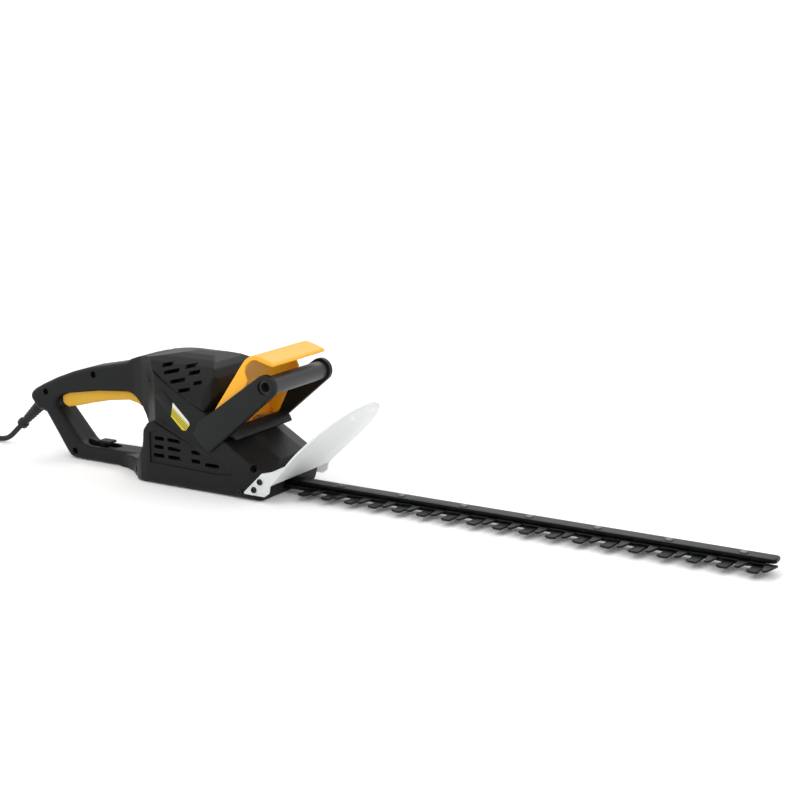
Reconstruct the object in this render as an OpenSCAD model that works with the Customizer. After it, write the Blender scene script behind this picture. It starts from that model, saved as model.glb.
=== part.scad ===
// Corded hedge trimmer. Millimetres, +X forward along the blade, +Y to the left, +Z up.
// The flat underside rests on z = 0 and the outline is centred in x and y.

/* [Whole tool] */
// length from the cord sleeve's end to the tip of the bar
overall_len = 967; // [900:1:1040]
// half width of the motor housing
body_half = 57; // [54:0.5:60]
// half width of the rear grip
grip_half = 18; // [16:0.5:20]
// wall of the housing
wall = 3.5; // [2.5:0.5:4]

/* [Blade] */
// distance between two blunt teeth
pitch = 30; // [28:0.5:31]
// number of blunt teeth
teeth = 18; // [10:1:18]
// x of the first blunt tooth
tooth0_x = -42.5; // [-44:0.5:-40]
// thickness of each blade
blade_t = 2.2; // [1.8:0.1:2.3]
// height of the lower blade's underside
blade_z = 5.6; // [5.4:0.1:6]
// sideways reach of the blunt teeth from the centre line
tooth_reach = 31; // [26:0.5:34]
// half stroke of each blade
stroke = 7; // [5:0.5:7.5]
// half width of the guide bar
bar_half = 8.5; // [8:0.5:10]
// height of the guide bar
bar_h = 4.5; // [3.5:0.1:4.5]
// number of bolts along the bar
bolts = 7; // [3:1:7]
// distance between two bolts
bolt_gap = 76.5; // [60:0.5:78]
// diameter of the bolt shanks
bolt_d = 5; // [4:0.5:6]

/* [Drive] */
// gear module
mod = 1.3; // [1.2:0.05:1.3]
// teeth of the motor pinion
pinion_n = 12; // [10:1:13]
// teeth of the gear wheel
wheel_n = 60; // [56:4:60]
// diameter of the gear pin
pin_d = 8; // [6:0.5:9]
// diameter of the motor shaft
shaft_d = 6; // [5:0.5:8]
// diameter of the motor's iron core
core_d = 58; // [50:1:58]

/* [Handles] */
// outer half distance of the front handle arms
arm_half = 59; // [58:0.5:62]
// thickness of a front handle arm
arm_t = 7.5; // [5:0.5:7.5]
// diameter of the front handle tube
tube_d = 21; // [18:0.5:24]
// travel of the front switch bar in degrees
lever_travel = 6; // [3:0.5:7]
// travel of the rear trigger in degrees
trigger_travel = 4.5; // [3:0.5:5]
// diameter of the switch bar's axle
axle_d = 5; // [4:0.5:6]
// diameter of the trigger's pin
trig_pin_d = 4; // [3:0.5:5]

/* [Guard] */
// half width of the hand guard
guard_half = 68; // [62:1:72]
// height of the guard's top edge
guard_top = 112; // [100:1:120]
// thickness of the guard
guard_t = 2.5; // [2:0.25:3.5]

/* [Cord] */
// diameter of the cord
cord_d = 6.6; // [6:0.1:8]

/* [Fits] */
// gap between parts that only sit together
gap = 0.3; // [0.2:0.05:0.4]
// radial clearance of a turning fit
run = 0.05; // [0.02:0.01:0.1]

/* [Hidden] */

half_len = overall_len / 2;
upper_z = blade_z + blade_t + gap;
bar_z = upper_z + blade_t + gap;
bar_top = bar_z + bar_h;
case_z = bar_top;
case_t = 4;
wheel_z = 24;
wheel_t = 8;
cover_z = 36;
cover_t = 4;
gear_x = -157.5;
motor_x = gear_x - mod * (pinion_n + wheel_n) / 2;
axle_at = [-132, 73];
trig_at = [-393, 80.3];
tube_at = [-70.5, 129.5];
sleeve_at = [-442, 59.5];
sleeve_turn = 41.5;
sleeve_end_r = 7;
sleeve_len = (half_len + sleeve_at[0] - sleeve_end_r * sin(sleeve_turn)) / cos(sleeve_turn);
bolt0_x = -9.7;
tail_y = [-11, 8];
yoke_in = [12, 18.6];
yoke_out = [20, 26];
ecc_r = 11;
guard_back = 88.5;
black = [0.13, 0.14, 0.15];
yellow = [0.93, 0.66, 0.12];
steel = [0.62, 0.63, 0.65];
dark_steel = [0.2, 0.21, 0.22];
copper = [0.72, 0.42, 0.2];

// ---- outline helpers ----
function unit(v) = v / norm(v);
function inset(p, d) = let (n = len(p)) [for (i = [0:n - 1])
  let (u = unit(p[i] - p[(i + n - 1) % n]), v = unit(p[(i + 1) % n] - p[i]))
  p[i] + d * [-u[1] - v[1], u[0] + v[0]] / (1 + u * v)];
function arc(c, r, a0, a1, n) = [for (i = [0:n]) let (a = a0 + (a1 - a0) * i / n)
  c + r * [cos(a), sin(a)]];
function round_steps(r) = [for (a = [0:30:90]) [r * sin(a), r * (1 - cos(a))]];

// solid between rings; each ring is [y, inset] of one outline in the x-z plane
module rings(p, list) {
  n = len(p);
  k = len(list);
  pts = [for (s = list) each [for (q = inset(p, s[1])) [q[0], s[0], q[1]]]];
  sides = [for (j = [0:k - 2]) for (i = [0:n - 1])
    let (a = j * n + i, b = j * n + (i + 1) % n) each [[a, b, b + n], [a, b + n, a + n]]];
  polyhedron(points = pts, faces = concat([[for (i = [n - 1:-1:0]) i]], sides,
    [[for (i = [0:n - 1]) (k - 1) * n + i]]));
}
// half slab from the middle plane to y = h with a rounded outer edge, its two faces cut flat
module half_slab(p, h, r) {
  intersection() {
    rings(p, concat([[-1, 0]], [for (s = round_steps(r)) [h + 0.3 - r + s[0], s[1]]]));
    block([-500, 0, -1], [0, h, 200]);
  }
}
// full slab, rounded on both outer edges
module full_slab(p, h, r) {
  intersection() {
    rings(p, concat([for (i = [3:-1:0]) let (s = round_steps(r)[i]) [-h - 0.3 + r - s[0], s[1]]],
      [for (s = round_steps(r)) [h + 0.3 - r + s[0], s[1]]]));
    block([-500, -h, -1], [0, h, 200]);
  }
}
// prism of an x-z outline between two y values
module side_prism(p, y0, y1) {
  translate([0, y1, 0]) rotate([90, 0, 0]) linear_extrude(y1 - y0) polygon(p);
}
// prism of a half plan outline between two heights
module plan_prism(p, z0, z1) {
  translate([0, 0, z0]) linear_extrude(z1 - z0) polygon(p);
}
// prism of a y-z outline along x
module front_prism(p, x0, x1) {
  translate([x0, 0, 0]) rotate([90, 0, 90]) linear_extrude(x1 - x0) polygon(p);
}
module y_cyl(at, y0, y1, d) {
  translate([at[0], y1, at[1]]) rotate([90, 0, 0]) cylinder(h = y1 - y0, d = d, $fn = 48);
}
module z_cyl(x, y, z0, z1, d) {
  translate([x, y, z0]) cylinder(h = z1 - z0, d = d, $fn = 48);
}
module z_ring(x, y, z0, z1, d, hole) {
  difference() {
    z_cyl(x, y, z0, z1, d);
    z_cyl(x, y, z0 - 1, z1 + 1, hole);
  }
}
module block(a, b) {
  translate(a) cube(b - a);
}

// ---- housing outlines ----
frame_side = concat([[-240, 0], [-240, 130]],
  [[-258, 137.5], [-268, 137], [-279, 134], [-285, 133], [-291, 131], [-297, 127.5], [-303.5, 125.5],
   [-326.5, 120.5], [-352.5, 115], [-380.5, 106.5], [-406.5, 96.5], [-428, 86.5], [-441, 79.5]],
  [[-446, 75.5], [-448.5, 70.5], [-447.5, 66], [-437, 53.5], [-432, 53], [-424, 51.5]],
  [[-392.5, 7], [-390, 3.5], [-386, 1], [-381, 0]]);
loop_side = [[-371, 22], [-366, 18.5], [-358, 17.5], [-290, 18.5], [-266, 20], [-257, 25],
  [-257, 60], [-262, 67], [-282, 85], [-289, 89.5], [-297, 91.5], [-341, 87], [-388, 79],
  [-399, 74.5], [-405.5, 68], [-406, 60]];
// the wide lower body, the neck above it and the gusset between the lower rail and the body
flank_side = [[-250, 0], [-80, 0], [-70, 36], [-74, 42], [-117, 67], [-122, 67], [-122, 62],
  [-151, 62], [-170, 60], [-228, 72.5], [-234, 70.5], [-241, 61], [-243, 42], [-253, 27],
  [-256, 10], [-254, 3]];
flank_plan = [[-262, 0], [-262, 42], [-254, 50], [-245, 55.5], [-236, body_half],
  [-95, body_half], [-76, body_half - 3], [-70, body_half - 8], [-70, 0]];
neck_side = [[-257, 50], [-151, 50], [-151, 88.5], [-255, 138.6], [-262, 139.4], [-276, 136],
  [-290, 130], [-290, 98], [-282, 89], [-262, 70], [-257, 63]];
neck_plan = [[-290, 0], [-290, grip_half - 1], [-270, 20.5], [-255, 27.5], [-240, 39.5],
  [-228, 49.5], [-220, body_half], [-140, body_half], [-140, 0]];
gusset_side = [[-310, 0], [-238, 0], [-238, 44], [-251, 28], [-259, 23], [-284, 18], [-310, 15]];
gusset_plan = [[-310, 0], [-310, grip_half - 1.5], [-296, 20], [-280, 28], [-265, 41],
  [-254, 51], [-246, 55.5], [-238, 55.5], [-238, 0]];
body_front = [[0, 0], [body_half - 6, 0], [body_half - 1.7, 1.8], [body_half, 6],
  [body_half, 150], [0, 150]];
dome_side = [[-262, 139.9], [-255, 139.1], [-156, 91.4], [-145, 112], [-146, 128], [-151, 137],
  [-158, 143], [-167, 147], [-179, 149], [-198, 149], [-212, 147.5], [-226.5, 145],
  [-248, 141.4]];
dome_plan = [[-290, 0], [-290, grip_half - 1], [-270, 20.5], [-255, 27.5], [-240, 39.5],
  [-228, 49.5], [-220, body_half], [-162, body_half], [-150, 47], [-144, 35], [-142, 0]];
dome_front = [[0, 60], [54, 60], [54, 102], [52, 112], [49, 121], [44, 130.5], [37, 138.5],
  [26, 144], [14, 147.5], [0, 149]];
hollow_side = [[-250, 3.2], [-83, 3.2], [-74.5, 35], [-77.5, 39.5], [-118, 59], [-154.5, 59],
  [-154.5, 86], [-159.5, 93], [-150.5, 113], [-151, 125], [-157, 133], [-167, 140],
  [-179, 144.5], [-198, 145.3], [-226.5, 141.5], [-250, 136.5]];
hollow_plan = [[-250, -1], [-250, 18], [-240, 31], [-228, 43], [-217, 47.5], [-161, 47.5],
  [-153, 42], [-150, 34], [-150, -1]];
low_hollow_plan = [[-250, -1], [-250, 18], [-240, 31], [-228, 43], [-217, 47.5], [-95, 47.5],
  [-80, 45], [-74.5, 41], [-74.5, -1]];
hollow_front = [[-1, 0], [47.5, 0], [47.5, 104], [45.5, 114], [41, 124], [35, 132],
  [26, 139], [14, 143.5], [-1, 145.5]];
grip_hollow = [[-428, 72], [-395, 82.5], [-341, 91], [-296, 95.5], [-271, 94], [-250, 94],
  [-250, 126], [-279, 128], [-303, 121], [-352, 110.5], [-381, 101.5], [-407, 91.5],
  [-426, 82]];
trigger_slot = [[-404, 62], [-265, 62], [-265, 99], [-300, 98.5], [-341, 95], [-402, 87]];
vent_panel = [[-231, 25], [-140, 23], [-116, 25], [-132, 35], [-155, 43.5], [-221, 64],
  [-231, 60]];
arm_side = concat(arc(tube_at, 13.5, -42, 132, 12),
  [[-156.5, 83.5], [-160.5, 80.5], [-168, 67], [-166, 62], [-150, 48.5], [-145, 48]]);
// screws that hold a front handle arm: [x, z]
bow_bolts = [[-157, 72], [-143, 56]];
// front end of the ridge along the flank, its slope, and how much the side above it turns inwards
ridge_at = [-120.5, 31];
ridge_slope = 21.3;
ridge_turn = 3.4;
// outline of the label in the plane of that side: [back along the ridge, up]
label_pts = [[-124, 28], [-121, 24.5], [-75, 9.5], [-70, 11.5], [-67.5, 20], [-70, 23], [-115, 38],
  [-121, 36]];
// rows of side vents: [x0, x1, z]
side_vents = [[-225, -211, 54], [-206.5, -187.5, 54], [-226, -212, 44], [-206.5, -187.5, 44],
  [-173.5, -160.5, 44], [-227, -211, 34], [-206.5, -187.5, 34], [-173.5, -160.5, 34],
  [-154.5, -134.5, 32]];
// rows of dome vents: [x, z] of the lower rear corner and the length
dome_vents = [[-222, 133, 13], [-216, 126, 20], [-204, 117.5, 20], [-191, 109, 16], [-190, 134.5, 13],
  [-182, 128.5, 14], [-172, 119, 11]];
// places of the long screws on the middle plane: [x, z, half depth of the part there]
long_screws = [[-421, 78, 15], [-345, 107, 15], [-378, 10, 15], [-247, 116, 33], [-263, 9, 41],
  [-88, 36, 51]];

module loop_cut() {
  rings(loop_side, [[-1, 0], [grip_half - 6, 0], [grip_half - 3, -0.8], [grip_half - 0.8, -3.2],
    [grip_half + 0.2, -6], [grip_half + 2, -6]]);
}
// the common part of a side view, a half plan and a half front view
module three_views(side, plan, front) {
  intersection() {
    side_prism(side, front[0][0], body_half + 5);
    plan_prism(plan, 0, 155);
    front_prism(front, -320, -60);
  }
}
module main_outer() {
  three_views(flank_side, flank_plan, body_front);
  three_views(neck_side, neck_plan, body_front);
  three_views(gusset_side, gusset_plan, body_front);
}
// slanted cut that leaves the nose roof higher in the middle than at the sides
module roof_cut() {
  translate([-70, 24, 39.6]) rotate([0, 30.2, 0]) translate([-60, 0, 0]) rotate([-17, 0, 0])
    cube([90, 60, 30]);
}
// frame of the inclined side above the ridge: x along the ridge, y outwards, z up
module on_upper_side() {
  translate([ridge_at[0], body_half, ridge_at[1]]) rotate([0, ridge_slope, 0]) rotate([0, 0, ridge_turn])
    children();
}
module hollow() {
  three_views(hollow_side, hollow_plan, hollow_front);
  difference() {
    intersection() {
      three_views(hollow_side, low_hollow_plan, hollow_front);
      block([-300, -1, 0], [0, 60, 90]);
    }
    translate([0, 0, -4.2]) roof_cut();
  }
}
module rounded_slot(x0, x1, y0, y1, z, h) {
  side_prism(concat(arc([x1 - h / 2, z], h / 2, -90, 90, 8), arc([x0 + h / 2, z], h / 2, 90, 270, 8)),
    y0, y1);
}
// every cut that both housing halves share, for the +y side
module shell_cuts() {
  difference() {
    union() {
      hollow();
      side_prism(grip_hollow, -1, grip_half - wall - 1);
    }
    for (s = long_screws) y_cyl([s[0], s[1]], -2, s[2] + 6, 9);
  }
  side_prism(trigger_slot, -1, 11 + 2 * gap);
  on_upper_side() translate([-190, 0, 0.4]) cube([190, 30, 90]);
  side_prism(vent_panel, body_half - 1.4, body_half + 5);
  for (v = side_vents) rounded_slot(v[0], v[1], 40, body_half + 2, v[2], 4.6);
  block([-232, 40, 14], [-164, body_half - 4.5, 60]);
  side_prism(inset(arm_side, -gap), arm_half - arm_t - gap, arm_half + 3);
  block([-86, -1, blade_z - 0.8], [-60, bar_half + 4, bar_top + 0.6]);
  block([-196 - gap, -1, -1], [-94 + gap, 34 + gap, 5]);
  block([-143.5, -1, 50], [-130.5, 5, 70]);
  y_cyl(trig_at, -1, 14.2, trig_pin_d + 2 * run);
  for (x = [-77, -85], z = [24 + (x + 77) * 1.25]) y_cyl([x, z], 38, body_half + 2, 3.1);
  y_cyl([-106, 8], 45, body_half + 2, 3.1);
  translate([sleeve_at[0], 0, sleeve_at[1]]) rotate([0, -90 - sleeve_turn, 0]) {
    translate([-12, -25, -0.4]) cube([24, 50, 6]);
    translate([0, 0, -20]) cylinder(h = 30, d = 12 + 2 * gap, $fn = 48);
    translate([0, 0, -14]) cylinder(h = 5, d = 18 + 2 * gap, $fn = 48);
  }
  translate([-346, 0, 12]) scale([1, 0.42, 1]) cylinder(h = 20, d = 50, $fn = 64);
  for (b = bow_bolts) {
    y_cyl(b, 30, 60, 3.4);
    y_cyl(b, 30, 47.5, 8);
  }
  y_cyl(axle_at, 40, 60, axle_d + 1);
}
module housing_half() {
  difference() {
    union() {
      difference() {
        half_slab(frame_side, grip_half, 7);
        loop_cut();
      }
      difference() {
        main_outer();
        roof_cut();
      }
    }
    shell_cuts();
  }
}
module housing_left() color(black) difference() {
  housing_half();
  for (s = long_screws) y_cyl([s[0], s[1]], -1, 11, 3.1);
}
module housing_right() color(black) mirror([0, 1, 0]) difference() {
  housing_half();
  for (s = long_screws) {
    y_cyl([s[0], s[1]], -1, s[2] + 1, 3.1);
    y_cyl([s[0], s[1]], s[2] - 3, s[2] + 20, 8);
  }
}

module top_cover() color(black) difference() {
  for (s = [0, 1]) mirror([0, s, 0]) three_views(dome_side, dome_plan, dome_front);
  for (s = [0, 1]) mirror([0, s, 0]) {
    hollow();
    side_prism(inset(arm_side, -gap - 0.1), arm_half - arm_t - gap, arm_half + 3);
    for (v = dome_vents) translate([v[0], 0, v[1]]) rotate([0, -14, 0])
      block([0, 30, 0], [v[2], 60, 4.2]);
    y_cyl([-247, 116], 0, 60, 10);
  }
}
module label_left() color([0.9, 0.75, 0.2]) on_upper_side() side_prism(label_pts, 0, 0.6);
module label_right() color([0.9, 0.75, 0.2]) mirror([0, 1, 0]) on_upper_side()
  side_prism(label_pts, 0, 0.6);

// ---- front handle ----
chin_side = [[-121.6, 67.4], [-117, 67.4], [-112, 64.6], [-109.5, 66.5], [-112, 72],
  [-117, 76.5], [-121.6, 77.6]];
module handle_bow() color(black) difference() {
  union() {
    for (s = [0, 1]) mirror([0, s, 0])
      rings(arm_side, [[arm_half - arm_t, 0], [arm_half - 2, 0], [arm_half - 0.6, 0.6],
        [arm_half, 2]]);
    side_prism(chin_side, -arm_half + arm_t - 0.2, arm_half - arm_t + 0.2);
  }
  y_cyl(tube_at, -70, 70, 16 + 2 * run);
  y_cyl(axle_at, -arm_half + 2.5, arm_half - 2.5, axle_d + 2 * run);
  for (b = bow_bolts) y_cyl(b, -arm_half + 2, arm_half - 2, 3.1);
}
module handle_tube() color([0.2, 0.21, 0.22]) difference() {
  union() {
    y_cyl(tube_at, -arm_half + arm_t + 0.1, arm_half - arm_t - 0.1, tube_d);
    y_cyl(tube_at, -arm_half + 3.5, arm_half - 3.5, 16);
  }
  y_cyl(tube_at, -70, 70, 3.1);
}
module tube_screws() color(steel) for (s = [0, 1]) mirror([0, s, 0]) {
  y_cyl(tube_at, 30, arm_half - 3.5, 3);
  y_cyl(tube_at, arm_half - 3.5, arm_half - 1.2, 7);
}
module bow_screws() color(dark_steel) for (s = [0, 1], b = bow_bolts) mirror([0, s, 0]) {
  y_cyl(b, 47.5, arm_half - 2.5, 3);
  y_cyl(b, 45.3, 47.5, 7);
}

// ---- front switch bar ----
plate_side = [[-138.5, 69], [-134.5, 70.5], [-142.4, 87], [-140, 91.5], [-103, 143.5],
  [-98.5, 150.5], [-92.5, 155.5], [-86, 156.8], [-67, 151.8], [-63.5, 151.2], [-62, 153.2],
  [-65, 156], [-80, 160.6], [-87, 162], [-94, 160.4], [-101, 155.5], [-106.5, 148],
  [-143.6, 94.2], [-147, 88]];
cheek_side = [[-137, 68], [-129, 69], [-126, 76], [-112, 104], [-97, 132], [-101, 141],
  [-99.5, 149], [-94, 155], [-93, 158.5], [-101, 154.5], [-106, 147], [-143, 93], [-146.4, 88]];
rib_side = [[-142, 88.5], [-134, 87], [-119, 106], [-116, 127], [-124, 120]];
cheek_out = arm_half - arm_t - gap - 0.5;
module switch_bar() color(yellow) difference() {
  union() {
    side_prism(plate_side, -cheek_out, cheek_out);
    for (s = [0, 1]) mirror([0, s, 0]) {
      side_prism(cheek_side, cheek_out - 3.4, cheek_out);
      y_cyl(axle_at, cheek_out - 7, cheek_out, 11);
    }
    for (y = [-36:12:36]) side_prism(rib_side, y - 1, y + 1);
    side_prism([[-139, 51], [-134, 51], [-133, 70], [-128, 73], [-132, 78], [-142, 82],
      [-140, 70]], -4, 4);
  }
  y_cyl(axle_at, -70, 70, axle_d + 2 * run);
}
module bar_axle() color(steel) y_cyl(axle_at, -arm_half + 3, arm_half - 3, axle_d);

// tube swept along points; frame turns with the path
module tube(path, r, sides) {
  n = len(path);
  dirs = [for (i = [0:n - 1]) unit(path[min(i + 1, n - 1)] - path[max(i - 1, 0)])];
  pts = [for (i = [0:n - 1]) let (d = dirs[i], a = unit(cross(d, abs(d[2]) > 0.9 ? [1, 0, 0] : [0, 0, 1])),
    b = cross(d, a)) each [for (k = [0:sides - 1]) path[i] + r * (cos(360 * k / sides) * a
      + sin(360 * k / sides) * b)]];
  skin = [for (i = [0:n - 2]) for (k = [0:sides - 1])
    let (p = i * sides + k, q = i * sides + (k + 1) % sides)
    each [[p, q, q + sides], [p, q + sides, p + sides]]];
  polyhedron(points = pts, faces = concat([[for (k = [sides - 1:-1:0]) k]], skin,
    [[for (k = [0:sides - 1]) (n - 1) * sides + k]]));
}
module bar_spring() color(steel) tube([for (i = [0:60]) let (a = i * 24)
  [axle_at[0] + 3.9 * cos(a), 18 + i * 0.13, axle_at[1] + 3.9 * sin(a)]], 0.5, 6);

module front_switch() color([0.25, 0.25, 0.27]) difference() {
  block([-162, -5, 45.5], [-143.6, 5, 56.5]);
  translate([-155, 0, 53]) rotate([0, 90, 0]) cylinder(h = 20, d = 3 + 2 * run, $fn = 24);
}
module front_button() color([0.8, 0.15, 0.1])
  translate([-148.5, 0, 53]) rotate([0, 90, 0]) cylinder(h = 9, d = 3, $fn = 24);

// ---- rear trigger ----
trigger_side = [[-401, 72], [-400.5, 66], [-397, 63], [-391.5, 61.2], [-377, 64.3], [-355, 70.2],
  [-326, 76.8], [-298, 80.5], [-284.5, 77.9], [-276, 73.8], [-269.5, 69.5], [-266.8, 72],
  [-268.5, 81], [-274, 89.5], [-280, 92], [-341, 89], [-392, 84.2], [-399, 82.5]];
module trigger() color(yellow) difference() {
  full_slab(trigger_side, 11, 1.6);
  y_cyl(trig_at, -20, 20, trig_pin_d + 2 * run);
}
module trigger_pin() color(steel) y_cyl(trig_at, -14, 14, trig_pin_d);
module trigger_spring() color(steel) tube([for (i = [0:72]) let (a = i * 30)
  [-360 + 3.6 * cos(a), 3.6 * sin(a), 88.4 + i * 0.25]], 0.45, 6);
module rear_switch() color([0.25, 0.25, 0.27]) difference() {
  block([-330, -6, 98.6], [-301, 6, 111]);
  z_cyl(-315, 0, 90, 108, 4 + 2 * run);
}
module rear_button() color([0.8, 0.15, 0.1]) z_cyl(-315, 0, 91.1, 101.7, 4);
module capacitor() color([0.85, 0.8, 0.3]) block([-293, -7, 101], [-276, 7, 115]);

module cord_hook() color([0.16, 0.17, 0.18]) {
  block([-352, -7, 12], [-332, 7, 14]);
  block([-350, -4, 13.5], [-344, 4, 22]);
  block([-350.5, -6, 21.4], [-333.5, 6, 24]);
}
module housing_screws() color(steel) {
  for (s = long_screws) {
    y_cyl([s[0], s[1]], -s[2] + 3, 10, 3);
    y_cyl([s[0], s[1]], -s[2] + 0.8, -s[2] + 3, 7);
  }
  for (s = [0, 1]) mirror([0, s, 0]) {
    y_cyl([-106, 8], 46, body_half - 0.2, 3);
    y_cyl([-106, 8], body_half, body_half + 1.6, 6.5);
  }
}

// ---- guard ----
// plate outline in its own plane: [y, distance along the slope]
guard_len = (guard_top - 22) * sqrt(2);
guard_r = guard_half;
plate_pts = concat([[0, 0], [body_half + 1.5, 0], [body_half + 4, 16], [guard_half - 2.5, 36]],
  [for (a = [-20:10:80]) [guard_r * cos(a), guard_len - guard_r + guard_r * sin(a)]],
  [[0, guard_len]]);
module guard() color([0.86, 0.88, 0.88, 0.6]) for (s = [0, 1]) mirror([0, s, 0]) {
  multmatrix([[0, sqrt(0.5), sqrt(0.5), 22 - guard_back], [1, 0, 0, 0],
    [0, sqrt(0.5), -sqrt(0.5), 22], [0, 0, 0, 1]]) linear_extrude(guard_t) polygon(plate_pts);
  difference() {
    side_prism([[-99, 7.5], [-72, 7.5], [-66, 12], [-64.5, 20], [-48, 38], [-44, 46], [-62, 37],
      [-75, 33.5], [-98.5, 10]], body_half + gap, body_half + gap + guard_t);
    for (x = [-77, -85], z = [24 + (x + 77) * 1.25]) y_cyl([x, z], 38, 70, 3.4);
  }
}
module guard_screws() color(dark_steel) for (s = [0, 1], x = [-77, -85]) mirror([0, s, 0]) {
  z = 24 + (x + 77) * 1.25;
  y_cyl([x, z], 46, body_half + gap + guard_t, 3);
  y_cyl([x, z], body_half + gap + guard_t, body_half + gap + guard_t + 2, 7);
}

// ---- gear case and drive ----
pillars = [[-190, 30], [-190, -30], [-100, 30], [-100, -30]];
posts = [[-218, 37], [-218, -37], [-104, 37], [-104, -37]];
module base_plate() color(steel) difference() {
  block([-196, -34, 0.2], [-94, 34, 3]);
  z_cyl(gear_x, 0, 0.8, 5, pin_d);
  for (p = pillars) {
    z_cyl(p[0], p[1], -1, 5, 4.4);
    z_cyl(p[0], p[1], -1, 1.6, 8);
  }
}
module base_screws() color(dark_steel) for (p = pillars) {
  z_cyl(p[0], p[1], 0.4, 1.6, 7);
  z_cyl(p[0], p[1], 1.6, 14, 4);
}
module gear_case() color([0.68, 0.69, 0.7]) difference() {
  union() {
    block([-226, -42, case_z], [-88, 42, case_z + case_t]);
    for (p = pillars) z_cyl(p[0], p[1], 3, case_z + 1, 8);
    for (p = posts) z_cyl(p[0], p[1], case_z + 1, cover_z, 8);
    z_cyl(motor_x, 0, case_z, case_z + case_t + 1, 20);
  }
  for (p = pillars) z_cyl(p[0], p[1], 1, 14.5, 4);
  for (p = posts) z_cyl(p[0], p[1], 26, cover_z + 1, 3.1);
  z_cyl(gear_x, 0, 0, 30, 24);
  z_cyl(motor_x, 0, case_z + 1, 30, shaft_d + 2 * run);
  for (x = [-122, -100]) z_cyl(x, 0, case_z - 1, 30, 5.2);
}
module gear_cover() color([0.68, 0.69, 0.7]) difference() {
  union() {
    block([-226, -42, cover_z], [-98, 42, cover_z + cover_t]);
    z_cyl(motor_x, 0, cover_z, cover_z + 8, 24);
  }
  z_cyl(gear_x, 0, 0, 60, pin_d);
  z_cyl(motor_x, 0, 0, 60, 12);
  z_cyl(motor_x, 0, cover_z + 1.5, 60, 19);
  for (p = posts) z_cyl(p[0], p[1], 0, 60, 3.4);
}
module cover_screws() color(dark_steel) for (p = posts) {
  z_cyl(p[0], p[1], 27, cover_z + cover_t, 3);
  z_cyl(p[0], p[1], cover_z + cover_t, cover_z + cover_t + 2, 6.5);
}
module gear_pin() color(steel) z_cyl(gear_x, 0, 0.8, cover_z + cover_t + 3, pin_d);

// involute tooth outline; r pitch radius, n teeth, slack sideways play
function inv(rb, t) = rb * [cos(t) + t * PI / 180 * sin(t), sin(t) - t * PI / 180 * cos(t)];
function spin(p, a) = [p[0] * cos(a) - p[1] * sin(a), p[0] * sin(a) + p[1] * cos(a)];
function flank(n, add, play) = let (r = mod * n / 2, rb = r * cos(20), ro = r + add,
  t1 = sqrt(pow(ro / rb, 2) - 1) * 180 / PI, tp = tan(20) * 180 / PI,
  off = 90 / n - play / r * 90 / PI + tp - 20)
  [for (i = [0:4]) spin(inv(rb, t1 * i / 4), -off)];
function gear_points(n, add, ded, play) = let (r = mod * n / 2, f = flank(n, add, play),
  root = min(r - ded, r * cos(20) - 0.05), a0 = atan2(f[0][1], f[0][0]))
  [for (i = [0:n - 1]) each concat([spin([root, 0], a0 + 360 * i / n)],
    [for (p = f) spin(p, 360 * i / n)],
    [for (k = [4:-1:0]) spin([f[k][0], -f[k][1]], 360 * i / n)],
    [spin([root, 0], 360 * i / n - a0)])];
module gear_wheel() color(steel) difference() {
  union() {
    translate([gear_x, 0, wheel_z]) rotate([0, 0, 180]) linear_extrude(wheel_t)
      polygon(gear_points(wheel_n, 0.75 * mod, 1.05 * mod, 0.16));
    z_cyl(gear_x, 0, case_z - 0.2, wheel_z + 0.5, 20);
    z_cyl(gear_x, 0, wheel_z, cover_z - gap, 18);
  }
  z_cyl(gear_x, 0, 0, 60, pin_d + 2 * run);
  for (a = [0:60:300]) z_cyl(gear_x + 25 * cos(a), 25 * sin(a), 0, 60, 12);
}
module eccentric() color([0.5, 0.5, 0.52]) difference() {
  union() {
    z_cyl(gear_x, stroke, bar_z + 0.1, bar_z + 2.1, 2 * ecc_r);
    z_cyl(gear_x, -stroke, bar_z + 2.1, case_z - 0.2, 2 * ecc_r);
  }
  z_cyl(gear_x, 0, 0, 60, pin_d + 2 * run);
}
module pinion() color(steel) translate([motor_x, 0, 22.5]) difference() {
  rotate([0, 0, 180 / pinion_n]) linear_extrude(11.5)
    polygon(gear_points(pinion_n, 0.75 * mod, 1.05 * mod, 0.16));
  translate([0, 0, -1]) cylinder(h = 20, d = shaft_d, $fn = 48);
}
module motor_shaft() color(steel) z_cyl(motor_x, 0, case_z + 1.4, 124, shaft_d);
module motor_bearings() color([0.75, 0.76, 0.78]) {
  z_ring(motor_x, 0, cover_z + 1.5, cover_z + 7.5, 19, shaft_d + 2 * run);
  z_ring(motor_x, 0, 116, 122, 19, shaft_d + 2 * run);
}
module fan() color([0.3, 0.3, 0.32]) difference() {
  union() {
    z_cyl(motor_x, 0, 45, 46.5, 54);
    z_cyl(motor_x, 0, 45, 52, 12);
    for (a = [0:30:330]) translate([motor_x, 0, 46]) rotate([0, 0, a]) block([7, -0.8, 0], [26, 0.8, 6]);
  }
  z_cyl(motor_x, 0, 40, 60, shaft_d);
}
module rotor_core() color([0.45, 0.45, 0.47]) difference() {
  z_cyl(motor_x, 0, 58, 94, 34);
  z_cyl(motor_x, 0, 50, 100, shaft_d);
  for (a = [0:30:330]) translate([motor_x, 0, 50]) rotate([0, 0, a]) block([15, -1, 0], [20, 1, 60]);
}
module rotor_windings() color(copper) for (z = [53, 94]) z_ring(motor_x, 0, z, z + 5, 30, shaft_d);
module commutator() color([0.8, 0.5, 0.28]) difference() {
  z_ring(motor_x, 0, 101, 112, 20, shaft_d);
  for (a = [0:30:330]) translate([motor_x, 0, 102]) rotate([0, 0, a]) block([9, -0.3, 0], [12, 0.3, 12]);
}
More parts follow.
